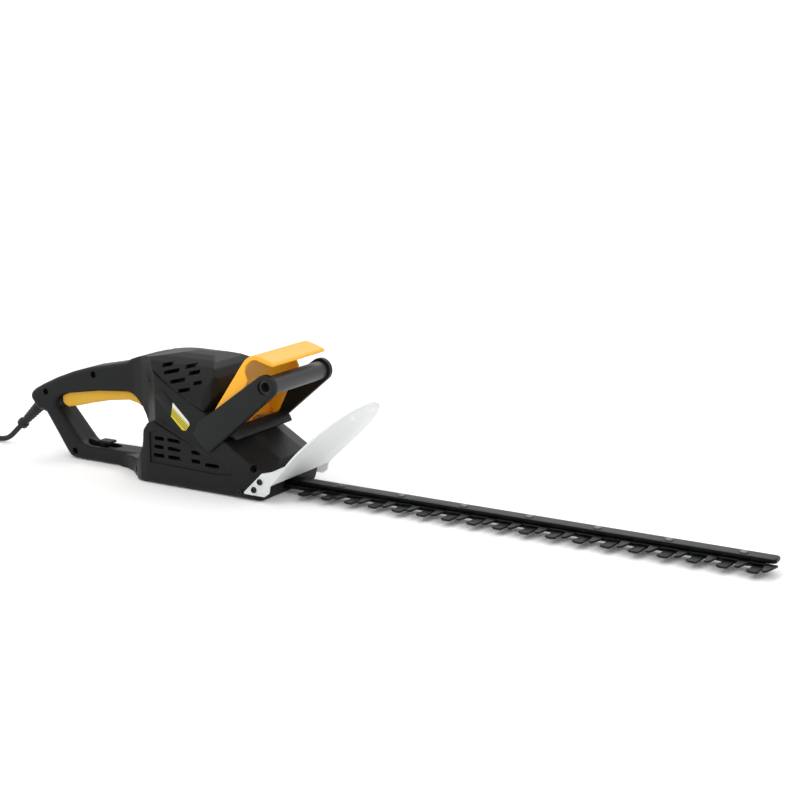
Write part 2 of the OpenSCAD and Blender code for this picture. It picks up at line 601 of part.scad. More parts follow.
module motor_frame() color([0.22, 0.23, 0.24]) difference() {
  union() {
    z_ring(motor_x, 0, 53, 120, core_d + 6, core_d);
    z_ring(motor_x, 0, 112.8, 124, core_d + 2, 12);
    for (a = [45:90:315]) translate([motor_x, 0, cover_z + cover_t]) rotate([0, 0, a])
      block([29.5, -4, 0], [32, 4, 14]);
    for (s = [-1, 1]) translate([motor_x, s * 22, 107]) cube([13, 20, 12], center = true);
  }
  z_cyl(motor_x, 0, 115.9, 130, 19);
  z_cyl(motor_x, 0, 100, 113.6, 26);
  for (s = [-1, 1]) translate([motor_x, s * 20, 107]) cube([8, 34, 6], center = true);
  for (a = [0:90:270]) translate([motor_x, 0, 70]) rotate([0, 0, a]) block([26, -8, 32], [40, 8, 38]);
}
module stator() color([0.45, 0.45, 0.47]) difference() {
  z_cyl(motor_x, 0, 57, 95, core_d);
  z_cyl(motor_x, 0, 50, 100, 36);
  for (s = [-1, 1]) translate([motor_x + s * 19, 0, 76]) cube([12, 26, 60], center = true);
}
module field_coils() color(copper) for (s = [-1, 1]) translate([motor_x, 0, 0]) difference() {
  block([s * 21 - 3.2, -12, 53.5], [s * 21 + 3.2, 12, 98.5]);
  block([s * 21 - 4, -6, 60], [s * 21 + 4, 6, 92]);
}
module brushes() color([0.2, 0.2, 0.2]) for (s = [-1, 1])
  translate([motor_x, s * 18.35, 107]) cube([7.8, 16, 5.8], center = true);

// ---- guide bar and blades ----
module guide_bar() color(dark_steel) difference() {
  block([-137, -bar_half, bar_z], [half_len, bar_half, bar_top]);
  for (i = [0:bolts - 1]) z_cyl(bolt0_x + i * bolt_gap, 0, 0, 30, bolt_d);
  for (x = [-122, -100]) z_cyl(x, 0, 0, 30, 4);
}
module bar_rivets() color(steel) for (x = [-122, -100]) {
  z_cyl(x, 0, bar_z + 0.5, case_z + case_t, 4);
  z_cyl(x, 0, case_z + case_t, case_z + case_t + 2, 7.5);
}
module bar_bolts() color(steel) for (i = [0:bolts - 1]) {
  z_cyl(bolt0_x + i * bolt_gap, 0, 2.6, bar_top, bolt_d);
  z_cyl(bolt0_x + i * bolt_gap, 0, bar_top, bar_top + 1.6, 8.5);
}
module bolt_nuts() color(steel) for (i = [0:bolts - 1]) difference() {
  z_cyl(bolt0_x + i * bolt_gap, 0, 2.8, blade_z - gap - 0.1, 10);
  z_cyl(bolt0_x + i * bolt_gap, 0, 0, 10, bolt_d);
}
module blade_slots() {
  for (i = [0:bolts - 1]) let (x = bolt0_x + i * bolt_gap, d = bolt_d + 2 * gap)
    translate([x, 0, -1]) linear_extrude(30) {
      translate([-stroke, 0]) circle(d = d, $fn = 24);
      translate([stroke, 0]) circle(d = d, $fn = 24);
      square([2 * stroke, d], center = true);
    }
}
module blade_body(x1) {
  translate([-139, tail_y[0]]) square([x1 + 139, tail_y[1] - tail_y[0]]);
  translate([gear_x, 0]) difference() {
    square(2 * yoke_out, center = true);
    square(2 * yoke_in, center = true);
  }
}
blunt_tooth = [[-6.6, -8], [-5.4, -17], [-5.6, -22.5], [-7.2, -25], [-6.6, -27.8], [-4.2, -30.2],
  [0, -31], [4, -30.6], [5.6, -28.5], [5.4, -25], [6.4, -17], [7.2, -8]];
sharp_tooth = [[-6.2, -8], [-4.6, -17], [-3.4, -28.6], [-1.6, -30.4], [0.8, -30], [2.4, -27.5],
  [5, -16], [6.2, -8]];
reach_k = tooth_reach / 31;
module lower_blade() color(dark_steel) translate([0, 0, blade_z]) difference() {
  linear_extrude(blade_t) {
    blade_body(half_len - 10);
    for (i = [0:teeth - 1]) translate([tooth0_x + i * pitch, 0])
      polygon([for (p = blunt_tooth) [p[0], p[1] * reach_k]]);
  }
  blade_slots();
}
module upper_blade() color([0.26, 0.27, 0.28]) translate([0, 0, upper_z]) difference() {
  linear_extrude(blade_t) {
    blade_body(half_len - 10);
    for (i = [0:teeth - 1]) translate([tooth0_x + (i + 0.5) * pitch - (i == teeth - 1 ? 3 : 0), 0])
      polygon([for (p = sharp_tooth) [p[0], p[1] * reach_k]]);
  }
  blade_slots();
}

// ---- cord ----
module cord_sleeve() color([0.1, 0.1, 0.11])
  translate([sleeve_at[0], 0, sleeve_at[1]]) rotate([0, -90 - sleeve_turn, 0]) rotate_extrude($fn = 48)
    polygon(concat([[0, -20], [6, -20], [6, -14 + gap], [9, -14 + gap], [9, -9 - gap], [6, -9 - gap],
      [6, 0.4], [8.2, 0.4], [8.2, 4]], [for (i = [0:6]) each [[7.6 - 0.3 * i, 5 + 5 * i],
      [6.6 - 0.25 * i, 7 + 5 * i], [6.6 - 0.25 * i, 9 + 5 * i]]],
      [[5.2, sleeve_len - 7], [sleeve_end_r - 0.8, sleeve_len - 6], [sleeve_end_r, sleeve_len - 5],
       [sleeve_end_r, sleeve_len], [0, sleeve_len]]));
sleeve_end = [sleeve_at[0] - sleeve_len * cos(sleeve_turn), 0, sleeve_at[1] - sleeve_len * sin(sleeve_turn)];
// route of the cord from the sleeve's end: [x, y] from that end, z above the floor
cord_route = [[0, 0, 26.9], [-6, 0, 21.6], [-12, 0, 16.3], [-18, 0, 11], [-24.5, 0, 6.8], [-32, 0, 4.3],
  [-40, 0, 3.5], [-52, 0, 3.5], [-66, 0, 3.5], [-80, 0, 3.5], [-94, 0, 3.5], [-108, 0, 3.5],
  [-122, 0, 3.5], [-136, 0, 3.5], [-149, 0, 3.5], [-161, -1, 3.5], [-173, -4.5, 3.5],
  [-184, -11.5, 3.5], [-192, -20.5, 3.5], [-197, -32, 3.5], [-198, -44, 3.5], [-195, -56, 3.5],
  [-188.5, -66, 3.5], [-179, -74, 3.5], [-167, -79, 3.5], [-155, -80.5, 3.5], [-142, -80.5, 3.5],
  [-129, -80.5, 3.5], [-116, -80.5, 3.6], [-104, -80.5, 4.4], [-92, -80.5, 6.4],
  [-83, -80.5, 7.8], [-77, -80.5, 8.1], [-71, -80.5, 8.1]];
cord_path = [for (p = cord_route) [sleeve_end[0] + p[0], p[1], p[2]]];
cord_end = cord_path[len(cord_route) - 1];
module cord() color([0.07, 0.07, 0.08]) tube(cord_path, cord_d / 2, 10);
module plug_body() color([0.1, 0.1, 0.11]) translate(cord_end) rotate([0, 90, 0]) difference() {
  union() {
    cylinder(h = 14, d1 = 9, d2 = 13, $fn = 40);
    intersection() {
      translate([0, 0, 12]) cylinder(h = 24, d1 = 22, d2 = 30, $fn = 48);
      translate([-7.8, -20, 0]) cube([15.6, 40, 60]);
    }
  }
  for (y = [-9.5, 9.5]) translate([0, y, 26]) cylinder(h = 20, d = 4.8, $fn = 32);
}
module plug_pins() color(steel) translate(cord_end) rotate([0, 90, 0])
  for (y = [-9.5, 9.5]) translate([0, y, 26]) cylinder(h = 29, d = 4.8, $fn = 32);

housing_left();
housing_right();
top_cover();
label_left();
label_right();
handle_bow();
handle_tube();
tube_screws();
bow_screws();
switch_bar();
bar_axle();
bar_spring();
front_switch();
front_button();
trigger();
trigger_pin();
trigger_spring();
rear_switch();
rear_button();
capacitor();
cord_hook();
housing_screws();
guard();
guard_screws();
base_plate();
base_screws();
gear_case();
gear_cover();
cover_screws();
gear_pin();
gear_wheel();
eccentric();
pinion();
motor_shaft();
rotor_core();
rotor_windings();
commutator();
fan();
motor_bearings();
motor_frame();
stator();
field_coils();
brushes();
guide_bar();
bar_rivets();
bar_bolts();
bolt_nuts();
upper_blade();
lower_blade();
cord_sleeve();
cord();
plug_body();
plug_pins();
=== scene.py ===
# %% [markdown]
# # A corded hedge trimmer
# The tool is a black moulded housing with a D shaped rear grip, a yellow trigger under it, a front
# handle with a yellow switch bar, a milky hand guard and a long black cutter bar with two toothed
# blades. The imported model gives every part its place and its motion. This script loads it as a
# fixed frame and puts the finished surfaces around it.

# %% Load the frame
import math
import bmesh
import bpy
from mathutils import Matrix, Vector


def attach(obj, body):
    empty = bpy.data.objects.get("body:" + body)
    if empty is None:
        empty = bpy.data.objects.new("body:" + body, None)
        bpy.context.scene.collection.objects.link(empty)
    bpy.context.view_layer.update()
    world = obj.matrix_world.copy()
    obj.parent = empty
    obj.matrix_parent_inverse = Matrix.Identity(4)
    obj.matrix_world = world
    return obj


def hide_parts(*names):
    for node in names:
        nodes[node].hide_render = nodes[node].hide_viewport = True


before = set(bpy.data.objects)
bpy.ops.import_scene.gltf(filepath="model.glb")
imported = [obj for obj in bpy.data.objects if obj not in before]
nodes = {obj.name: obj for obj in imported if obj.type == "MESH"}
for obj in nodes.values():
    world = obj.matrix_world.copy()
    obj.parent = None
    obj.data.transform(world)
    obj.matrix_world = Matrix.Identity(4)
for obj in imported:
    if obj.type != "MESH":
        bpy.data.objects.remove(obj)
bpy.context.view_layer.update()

MM = 0.001

# %% [markdown]
# ## The camera
# A long lens from the right front, a little above the tool, flattens the perspective the way a
# catalogue view does. The camera looks from its place to one point on the tool, so its turn is
# worked out from the two and stays right if either one moves.

# %% Camera
AIM = Vector((65.1, 0, 120.6)) * MM
AZIMUTH = math.radians(30.49)
ELEVATION = math.radians(12.92)
DISTANCE = 1.7371
LENS = 73.47
SENSOR = 36


def make_camera():
    toward = Vector((math.sin(AZIMUTH) * math.cos(ELEVATION),
                     -math.cos(AZIMUTH) * math.cos(ELEVATION), math.sin(ELEVATION)))
    data = bpy.data.cameras.new("camera")
    data.lens = LENS
    data.sensor_width = SENSOR
    camera = bpy.data.objects.new("camera", data)
    camera.location = AIM + toward * DISTANCE
    camera.rotation_euler = (-toward).to_track_quat("-Z", "Y").to_euler()
    bpy.context.scene.collection.objects.link(camera)
    bpy.context.scene.camera = camera
    return camera


camera = make_camera()
print("camera at", [round(v, 4) for v in camera.location])

# %% [markdown]
# ## The cord
# The mains lead of a garden tool like this one is a short tail that ends in its own plug, for an
# extension lead. It drops from the bend sleeve to the floor, runs back and turns round in one easy
# bend. A free cord can be a simulated rope or a curve through chosen points. A curve is used,
# because the route is settled by the frame and one spline keeps its length and its even thickness.

# %% Cord along its route
CORD_D = 6.6
SLEEVE_END_X = -478.86
# [back from the sleeve's end, sideways, height], the same route as the frame's cord
CORD_ROUTE = [
    (0, 0, 26.9), (-6, 0, 21.6), (-12, 0, 16.3), (-18, 0, 11), (-24.5, 0, 6.8), (-32, 0, 4.3),
    (-40, 0, 3.5), (-52, 0, 3.5), (-66, 0, 3.5), (-80, 0, 3.5), (-94, 0, 3.5), (-108, 0, 3.5),
    (-122, 0, 3.5), (-136, 0, 3.5), (-149, 0, 3.5), (-161, -1, 3.5), (-173, -4.5, 3.5),
    (-184, -11.5, 3.5), (-192, -20.5, 3.5), (-197, -32, 3.5), (-198, -44, 3.5), (-195, -56, 3.5),
    (-188.5, -66, 3.5), (-179, -74, 3.5), (-167, -79, 3.5), (-155, -80.5, 3.5), (-142, -80.5, 3.5),
    (-129, -80.5, 3.5), (-116, -80.5, 3.6), (-104, -80.5, 4.4), (-92, -80.5, 6.4),
    (-83, -80.5, 7.8), (-77, -80.5, 8.1), (-71, -80.5, 8.1)]


def make_cord():
    """A round spline whose points carry the cord's real radius."""
    curve = bpy.data.curves.new("mains_cord", "CURVE")
    curve.dimensions = "3D"
    curve.bevel_depth = 1
    curve.bevel_resolution = 6
    curve.resolution_u = 6
    curve.use_fill_caps = True
    spline = curve.splines.new("BEZIER")
    spline.bezier_points.add(len(CORD_ROUTE) - 1)
    for point, (back, side, height) in zip(spline.bezier_points, CORD_ROUTE):
        point.co = Vector((SLEEVE_END_X + back, side, height)) * MM
        point.handle_left_type = point.handle_right_type = "AUTO"
        point.radius = CORD_D / 2 * MM
    cord = bpy.data.objects.new("mains_cord", curve)
    bpy.context.scene.collection.objects.link(cord)
    return cord


cord = make_cord()
cord_run = [Vector(p) for p in CORD_ROUTE]
cord_length = sum((b - a).length for a, b in zip(cord_run, cord_run[1:]))
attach(cord, "housing")
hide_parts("cord")
print("cord length in mm:", round(cord_length, 1))

# %% [markdown]
# ## Shader sums
# A finish varies from place to place by sums of noise and masks. Nodes can be placed and linked one
# by one, but a sum of three terms is then ten lines. A small class wraps one output socket, so that
# a sum on it is written as a sum, and each operator adds its own Math node.

# %% Signal and Finish
class Signal:
    """One output of a shader node, on which sums can be written."""

    def __init__(self, finish, socket):
        self.finish = finish
        self.socket = socket

    def math(self, operation, left, right):
        return self.finish.node("ShaderNodeMath", {"operation": operation}, {0: left, 1: right})

    def __add__(self, other):
        return self.math("ADD", self, other)

    def __sub__(self, other):
        return self.math("SUBTRACT", self, other)

    def __mul__(self, other):
        return self.math("MULTIPLY", self, other)

    def __abs__(self):
        return self.finish.node("ShaderNodeMath", {"operation": "ABSOLUTE"}, {0: self})


class Finish:
    """A material, its main shader, and one short way to add any node to it."""

    def __init__(self, name, **constants):
        self.material = bpy.data.materials.new(name)
        self.material.use_nodes = True
        self.tree = self.material.node_tree
        self.shader = self.tree.nodes["Principled BSDF"]
        for socket, value in constants.items():
            self.shader.inputs[socket.replace("_", " ")].default_value = value
        self.place = self.node("ShaderNodeTexCoord", output="Object")

    def node(self, kind, settings=None, sockets=None, output=0):
        made = self.tree.nodes.new(kind)
        for setting, value in (settings or {}).items():
            setattr(made, setting, value)
        for key, value in (sockets or {}).items():
            if isinstance(value, Signal):
                self.tree.links.new(value.socket, made.inputs[key])
            else:
                made.inputs[key].default_value = value
        return Signal(self, made.outputs[output])

    def noise(self, grain, detail=2.0, stretch=(1, 1, 1)):
        """Noise from 0 to 1 whose lumps are about grain millimetres wide, drawn out by stretch."""
        turned = self.node("ShaderNodeMapping", {}, {"Vector": self.place, "Scale": stretch})
        return self.node("ShaderNodeTexNoise", {},
                         {"Vector": turned, "Scale": 1 / (grain * MM), "Detail": detail})

    def axis(self, letter):
        """The distance along one axis of the tool, in millimetres."""
        return self.node("ShaderNodeSeparateXYZ", {}, {0: self.place}, letter) * (1 / MM)

    def step(self, value, low, high):
        """0 below low, 1 above high, and a smooth rise between."""
        return self.node("ShaderNodeMapRange", {"interpolation_type": "SMOOTHSTEP"},
                         {"Value": value, "From Min": low, "From Max": high})

    def blend(self, mask, first, second):
        """The first colour where mask is 0, the second where it is 1."""
        ends = [c if isinstance(c, Signal) else (*c, 1) for c in (first, second)]
        return self.node("ShaderNodeMix", {"data_type": "RGBA"},
                         {0: mask, 6: ends[0], 7: ends[1]}, 2)

    def feed(self, **signals):
        for socket, signal in signals.items():
            self.tree.links.new(signal.socket, self.shader.inputs[socket.replace("_", " ")])

    def relief(self, height, depth, strength=1.0):
        """Raises the surface by height, which is worth depth millimetres at 1."""
        self.feed(Normal=self.node("ShaderNodeBump", {}, {
            "Height": height, "Distance": depth * MM, "Strength": strength}))


print("shader helpers ready")

# %% [markdown]
# ## Moulded plastics
# The housing is a black glass filled nylon from a spark eroded mould: a fine even grain, a satin
# sheen, and slow changes of gloss where hands and dust have been. One colour and one roughness
# would look like paint, so the grain goes to the bump, and blotches of two sizes go to colour and
# roughness. The same recipe in yellow makes the switch bar and the trigger, with less grain; the
# trigger's yellow is darker, with painted shade from the grip above it.

# %% Plastic finishes
def moulded(name, dark, light, rough, grain, depth, **constants):
    finish = Finish(name, **constants)
    fine = finish.noise(grain, 3)
    cloud = finish.noise(34, 3)
    mottle = finish.noise(5, 2)
    finish.feed(Base_Color=finish.blend(cloud * 0.7 + mottle * 0.3, dark, light))
    finish.feed(Roughness=fine * 0.10 + cloud * 0.12 + (rough - 0.11))
    finish.relief(fine + mottle * 0.15, depth, 0.5)
    return finish


def seamed(name, dark, light, rough, grain, depth, **constants):
    """A moulded finish with the joint of the two housing halves drawn along the middle plane."""
    finish = Finish(name, **constants)
    fine = finish.noise(grain, 3)
    cloud = finish.noise(34, 3)
    mottle = finish.noise(5, 2)
    off_middle = finish.step(abs(finish.axis("Y")), 0.25, 0.7)
    body = finish.blend(cloud * 0.7 + mottle * 0.3, dark, light)
    finish.feed(Base_Color=finish.blend(off_middle, (0.003, 0.003, 0.003), body))
    finish.feed(Roughness=fine * 0.10 + cloud * 0.12 + (rough - 0.11))
    finish.relief(fine * 0.3 + mottle * 0.05 + off_middle, depth * 3, 0.5)
    return finish


BLACK = seamed("black_nylon", (0.004, 0.0045, 0.0045), (0.009, 0.0095, 0.010), 0.46, 0.9, 0.05,
               Specular_IOR_Level=0.16)
BOW_BLACK = moulded("black_nylon_bow", (0.006, 0.0075, 0.007), (0.011, 0.0125, 0.012), 0.48, 0.9,
                    0.05, Specular_IOR_Level=0.18)
TUBE_GREY = moulded("grip_tube_rubber", (0.016, 0.017, 0.018), (0.028, 0.029, 0.031), 0.40, 1.2,
                    0.04, Specular_IOR_Level=0.4)
YELLOW = moulded("yellow_nylon", (0.84, 0.36, 0.008), (0.90, 0.42, 0.014), 0.40, 0.7, 0.02,
                 Specular_IOR_Level=0.4)
# The trigger's yellow is the switch bar's yellow darkened with painted shade, the shade it sits in under
# the grip.
SHADED_TRIGGER_YELLOW = moulded("trigger_yellow_painted_shade", (0.54, 0.29, 0.006), (0.62, 0.35, 0.010), 0.42, 0.7,
                         0.02, Specular_IOR_Level=0.4)
DARK_NYLON = moulded("dark_nylon", (0.020, 0.021, 0.024), (0.035, 0.036, 0.040), 0.5, 0.8, 0.04)
RED_NYLON = moulded("red_nylon", (0.45, 0.02, 0.012), (0.55, 0.035, 0.02), 0.4, 0.8, 0.03)
CORD_PVC = moulded("cord_pvc", (0.006, 0.006, 0.007), (0.011, 0.011, 0.012), 0.45, 1.5, 0.03,
                   Specular_IOR_Level=0.25)
FILM = moulded("capacitor_film", (0.55, 0.47, 0.10), (0.62, 0.54, 0.14), 0.3, 1.5, 0.02)
CARBON = moulded("brush_carbon", (0.012, 0.012, 0.013), (0.028, 0.028, 0.030), 0.62, 0.4, 0.04)
print("plastic finishes made")

# %% [markdown]
# ## The guard's milky plastic
# The hand guard is clear polycarbonate seen through a haze of fine scratches. A pure glass shader
# would vanish against a pale room, and a white one would look painted, so it is a rough half
# transmitting shader over a pale grey base. Scratches run up the plate and change its roughness.

# %% Guard finish
def milky():
    finish = Finish("milky_guard", Transmission_Weight=0.45, IOR=1.45, Specular_IOR_Level=0.5)
    haze = finish.noise(26, 3)
    scratch = finish.noise(1.1, 2, (1, 1, 0.08))
    finish.feed(Base_Color=finish.blend(haze, (0.90, 0.93, 0.92), (0.96, 0.98, 0.97)))
    finish.feed(Roughness=haze * 0.16 + scratch * 0.12 + 0.2)
    finish.relief(scratch, 0.008, 0.3)
    return finish


GUARD_MILK = milky()
print("guard finish made")

# %% [markdown]
# ## Metals
# The cutter bar and the blades are hardened steel under a black oxide, with bare ground edges on
# the teeth. The gear case is cast aluminium, the pins are zinc plated and the motor has copper and
# laminated iron. Each metal differs in colour, in how its scratches run and in how rough it is, so
# one function takes those three and every metal calls it.

# %% Metal finishes
def metal(name, dark, light, rough, metallic, grain, stretch, depth=0.02):
    finish = Finish(name, Metallic=metallic)
    brushed = finish.noise(grain, 3, stretch)
    stain = finish.noise(14, 3)
    finish.feed(Base_Color=finish.blend(brushed * 0.45 + stain * 0.55, dark, light))
    finish.feed(Roughness=brushed * 0.14 + stain * 0.14 + (rough - 0.14))
    finish.relief(brushed, depth, 0.4)
    return finish


EVEN = (1, 1, 1)
ALONG_X = (0.06, 1, 1)
BAR_BLACK = metal("bar_black_oxide", (0.004, 0.004, 0.005), (0.010, 0.011, 0.012), 0.42, 0.9, 1.2,
                  ALONG_X)
BLADE_BLACK = metal("blade_black_oxide", (0.008, 0.009, 0.009), (0.020, 0.021, 0.022), 0.42, 0.9,
                    1.0, ALONG_X)
GROUND_EDGE = metal("ground_edge", (0.05, 0.05, 0.055), (0.12, 0.12, 0.13), 0.34, 0.9, 0.5, EVEN)
DULL_STEEL = metal("dull_steel", (0.10, 0.10, 0.105), (0.19, 0.19, 0.20), 0.42, 1.0, 1.0, EVEN)
ZINC = metal("zinc_plate", (0.42, 0.43, 0.45), (0.62, 0.63, 0.65), 0.32, 1.0, 1.0, EVEN)
BLACK_SCREW = metal("blackened_screw", (0.014, 0.014, 0.015), (0.035, 0.035, 0.037), 0.4, 0.8, 0.8,
                    EVEN)
GEAR_STEEL = metal("gear_steel", (0.34, 0.35, 0.37), (0.52, 0.53, 0.55), 0.3, 1.0, 0.8, EVEN)
CAST = metal("cast_aluminium", (0.42, 0.43, 0.44), (0.58, 0.59, 0.60), 0.48, 1.0, 1.6, EVEN, 0.06)
COPPER = metal("copper_winding", (0.50, 0.19, 0.07), (0.70, 0.30, 0.13), 0.34, 1.0, 0.6,
               (1, 1, 0.1), 0.08)
IRON = metal("laminated_iron", (0.16, 0.16, 0.17), (0.27, 0.27, 0.28), 0.42, 1.0, 0.5,
             (0.1, 0.1, 1), 0.06)
print("metal finishes made")

# %% [markdown]
# ## Tools for modelling
# Most parts of the tool are outlines pushed straight to a thickness, with rounded rims. An outline
# becomes one face, an extrusion gives it depth, and insetting the end face in a few falling steps
# rounds the rim. Overlapping solids are melted into one skin by a voxel remesh, which also rounds
# the inner corners as a mould does, and holes are cut last so that their edges stay crisp.

# %% Helpers that make solids
FRONT_FACING = {"y": lambda a, b, c: (a, c, b), "x": lambda a, b, c: (c, a, b),
                "z": lambda a, b, c: (a, b, c)}


def arc(centre, radius, start, end, steps):
    """Points of an arc from one angle to another, in degrees."""
    turn = [math.radians(start + (end - start) * i / steps) for i in range(steps + 1)]
    return [(centre[0] + radius * math.cos(t), centre[1] + radius * math.sin(t)) for t in turn]


def prism(outline, low, high, along="y", rim=0.0, steps=4, both=False):
    """An outline pushed along an axis from low to high, in millimetres, with a rounded far rim."""
    place = FRONT_FACING[along]
    bm = bmesh.new()
    near = low + (rim if both else 0)
    face = bm.faces.new([bm.verts.new(Vector(place(a, b, near)) * MM) for a, b in outline])
    grown = bmesh.ops.extrude_face_region(bm, geom=[face])["geom"]
    push = Vector(place(0, 0, high - rim - near)) * MM
    bmesh.ops.translate(bm, vec=push, verts=[g for g in grown if isinstance(g, bmesh.types.BMVert)])
    bmesh.ops.recalc_face_normals(bm, faces=bm.faces)
    if rim:
        ends = [g for g in grown if isinstance(g, bmesh.types.BMFace)] + ([face] if both else [])
        for end in ends:
            round_rim(bm, end, rim, steps)
    return bm


def round_rim(bm, end, rim, steps, outward=False):
    """Insets an end face in steps that follow a quarter circle, so that its rim turns round."""
    for i in range(steps):
        a, b = math.pi / 2 * i / steps, math.pi / 2 * (i + 1) / steps
        inwards = rim * (math.cos(a) - math.cos(b)) * MM
        bmesh.ops.inset_region(bm, faces=[end], use_even_offset=True,
                               thickness=-inwards if outward else inwards,
                               depth=rim * (math.sin(b) - math.sin(a)) * MM)


def rod(radius, low, high, along="y", at=(0, 0), sides=40, bevel=0.0):
    """A round bar along an axis, with its two rims bevelled."""
    bm = prism(arc(at, radius, 0, 360 - 360 / sides, sides - 1), low, high, along)
    if bevel:
        ends = [e for e in bm.edges if any(len(f.verts) == sides for f in e.link_faces)]
        bmesh.ops.bevel(bm, geom=ends, offset=bevel * MM, segments=2, affect="EDGES", profile=0.5,
                        material=-1)
    return bm


def turned(bm, matrix):
    bmesh.ops.transform(bm, matrix=matrix, verts=bm.verts)
    return bm


def both_sides(bm):
    """The solid and its mirror image on the other side of the middle plane."""
    copy = bmesh.ops.duplicate(bm, geom=bm.verts[:] + bm.edges[:] + bm.faces[:])["geom"]
    faces = [g for g in copy if isinstance(g, bmesh.types.BMFace)]
    verts = [g for g in copy if isinstance(g, bmesh.types.BMVert)]
    bmesh.ops.scale(bm, vec=(1, -1, 1), verts=verts)
    bmesh.ops.reverse_faces(bm, faces=faces)
    return bm


def together(*solids):
    """Several solids in one bmesh."""
    bm = bmesh.new()
    for solid in solids:
        mesh = bpy.data.meshes.new("part")
        solid.to_mesh(mesh)
        solid.free()
        bm.from_mesh(mesh)
        bpy.data.meshes.remove(mesh)
    return bm


def as_object(bm, name):
    mesh = bpy.data.meshes.new(name)
    bm.to_mesh(mesh)
    bm.free()
    made = bpy.data.objects.new(name, mesh)
    bpy.context.scene.collection.objects.link(made)
    return made


def settle(made):
    """Makes an object's modifiers part of its mesh."""
    graph = bpy.context.evaluated_depsgraph_get()
    mesh = bpy.data.meshes.new_from_object(made.evaluated_get(graph))
    made.modifiers.clear()
    old, made.data = made.data, mesh
    bpy.data.meshes.remove(old)
    return made


def boolean(made, other, operation):
    """Cuts, joins or keeps the common part of two closed solids, and removes the second."""
    modifier = made.modifiers.new(operation.lower(), "BOOLEAN")
    modifier.operation = operation
    modifier.solver = "MANIFOLD"
    modifier.object = other
    settle(made)
    bpy.data.objects.remove(other)
    return made


def melt(made, voxel, rounds):
    """One skin round all solids of an object, softened by some rounds of smoothing."""
    remesh = made.modifiers.new("skin", "REMESH")
    remesh.mode = "VOXEL"
    remesh.voxel_size = voxel * MM
    smooth = made.modifiers.new("soften", "SMOOTH")
    smooth.factor = 0.5
    smooth.iterations = rounds
    return settle(made)


def finish_piece(made, finish, body, replaced=(), crease=32):
    """Gives a piece its material, its shading and its body, and hides the CAD nodes that it stands for.
    """
    made.data.materials.clear()
    made.data.materials.append(finish.material)
    made.data.shade_smooth()
    made.data.set_sharp_from_angle(angle=math.radians(crease))
    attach(made, body)
    if replaced:
        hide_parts(*replaced)
    print(made.name, "has", len(made.data.polygons), "faces")
    return made


print("modelling helpers ready")

# %% [markdown]
# ## Outlines of the housing
# The housing is known by its outlines: the side view of the rear handle and of its hand hole, and
# the side, plan and front views of the motor body and of its dome. They are kept as short lists, in
# millimetres, and each solid is the common part of its three views.

# %% Outlines
HANDLE_SIDE = [
    (-240, 0), (-240, 130), (-258, 137.5), (-268, 137), (-279, 134), (-285, 133), (-291, 131),
    (-297, 127.5), (-303.5, 125.5), (-326.5, 120.5), (-352.5, 115), (-380.5, 106.5),
    (-406.5, 96.5), (-428, 86.5), (-441, 79.5), (-446, 75.5), (-448.5, 70.5), (-447.5, 66),
    (-437, 53.5), (-432, 53), (-424, 51.5), (-392.5, 7), (-390, 3.5), (-386, 1), (-381, 0)]
HAND_HOLE = [
    (-371, 22), (-366, 18.5), (-358, 17.5), (-290, 18.5), (-266, 20), (-257, 25), (-257, 60),
    (-262, 67), (-282, 85), (-289, 89.5), (-297, 91.5), (-341, 87), (-388, 79), (-399, 74.5),
    (-405.5, 68), (-406, 60)]
# the wide lower body, the neck above it and the gusset between the lower rail and the body
FLANK_SIDE = [
    (-250, 0), (-80, 0), (-70, 36), (-74, 42), (-117, 67), (-122, 67), (-122, 62), (-151, 62),
    (-170, 60), (-228, 72.5), (-234, 70.5), (-241, 61), (-243, 42), (-253, 27), (-256, 10),
    (-254, 3)]
FLANK_PLAN = [
    (-262, 0), (-262, 42), (-254, 50), (-245, 55.5), (-236, 57), (-95, 57), (-76, 54), (-70, 49),
    (-70, 0)]
NECK_SIDE = [
    (-257, 50), (-151, 50), (-151, 88.5), (-255, 138.6), (-262, 139.4), (-276, 136), (-290, 130),
    (-290, 98), (-282, 89), (-262, 70), (-257, 63)]
NECK_PLAN = [
    (-290, 0), (-290, 17), (-270, 20.5), (-255, 27.5), (-240, 39.5), (-228, 49.5), (-220, 57),
    (-140, 57), (-140, 0)]
GUSSET_SIDE = [
    (-310, 0), (-238, 0), (-238, 44), (-251, 28), (-259, 23), (-284, 18), (-310, 15)]
GUSSET_PLAN = [
    (-310, 0), (-310, 16.5), (-296, 20), (-280, 28), (-265, 41), (-254, 51), (-246, 55.5),
    (-238, 55.5), (-238, 0)]
BODY_FRONT = [(0, 0), (51, 0), (55.3, 1.8), (57, 6), (57, 150), (0, 150)]
DOME_SIDE = [
    (-262, 139.9), (-255, 139.1), (-156, 91.4), (-145, 112), (-146, 128), (-151, 137),
    (-158, 143), (-167, 147), (-179, 149), (-198, 149), (-212, 147.5), (-226.5, 145),
    (-248, 141.4)]
DOME_PLAN = [
    (-290, 0), (-290, 17), (-270, 20.5), (-255, 27.5), (-240, 39.5), (-228, 49.5), (-220, 57),
    (-162, 57), (-150, 47), (-144, 35), (-142, 0)]
DOME_FRONT = [
    (0, 60), (54, 60), (54, 102), (52, 112), (49, 121), (44, 130.5), (37, 138.5), (26, 144),
    (14, 147.5), (0, 149)]
HOLLOW_SIDE = [
    (-250, 3.2), (-83, 3.2), (-74.5, 35), (-77.5, 39.5), (-118, 59), (-154.5, 59), (-154.5, 86),
    (-159.5, 93), (-150.5, 113), (-151, 125), (-157, 133), (-167, 140), (-179, 144.5),
    (-198, 145.3), (-226.5, 141.5), (-250, 136.5)]
HOLLOW_PLAN = [
    (-250, 0), (-250, 18), (-240, 31), (-228, 43), (-217, 47.5), (-161, 47.5), (-153, 42),
    (-150, 34), (-150, 0)]
LOW_HOLLOW_PLAN = [
    (-250, 0), (-250, 18), (-240, 31), (-228, 43), (-217, 47.5), (-95, 47.5), (-80, 45),
    (-74.5, 41), (-74.5, 0)]
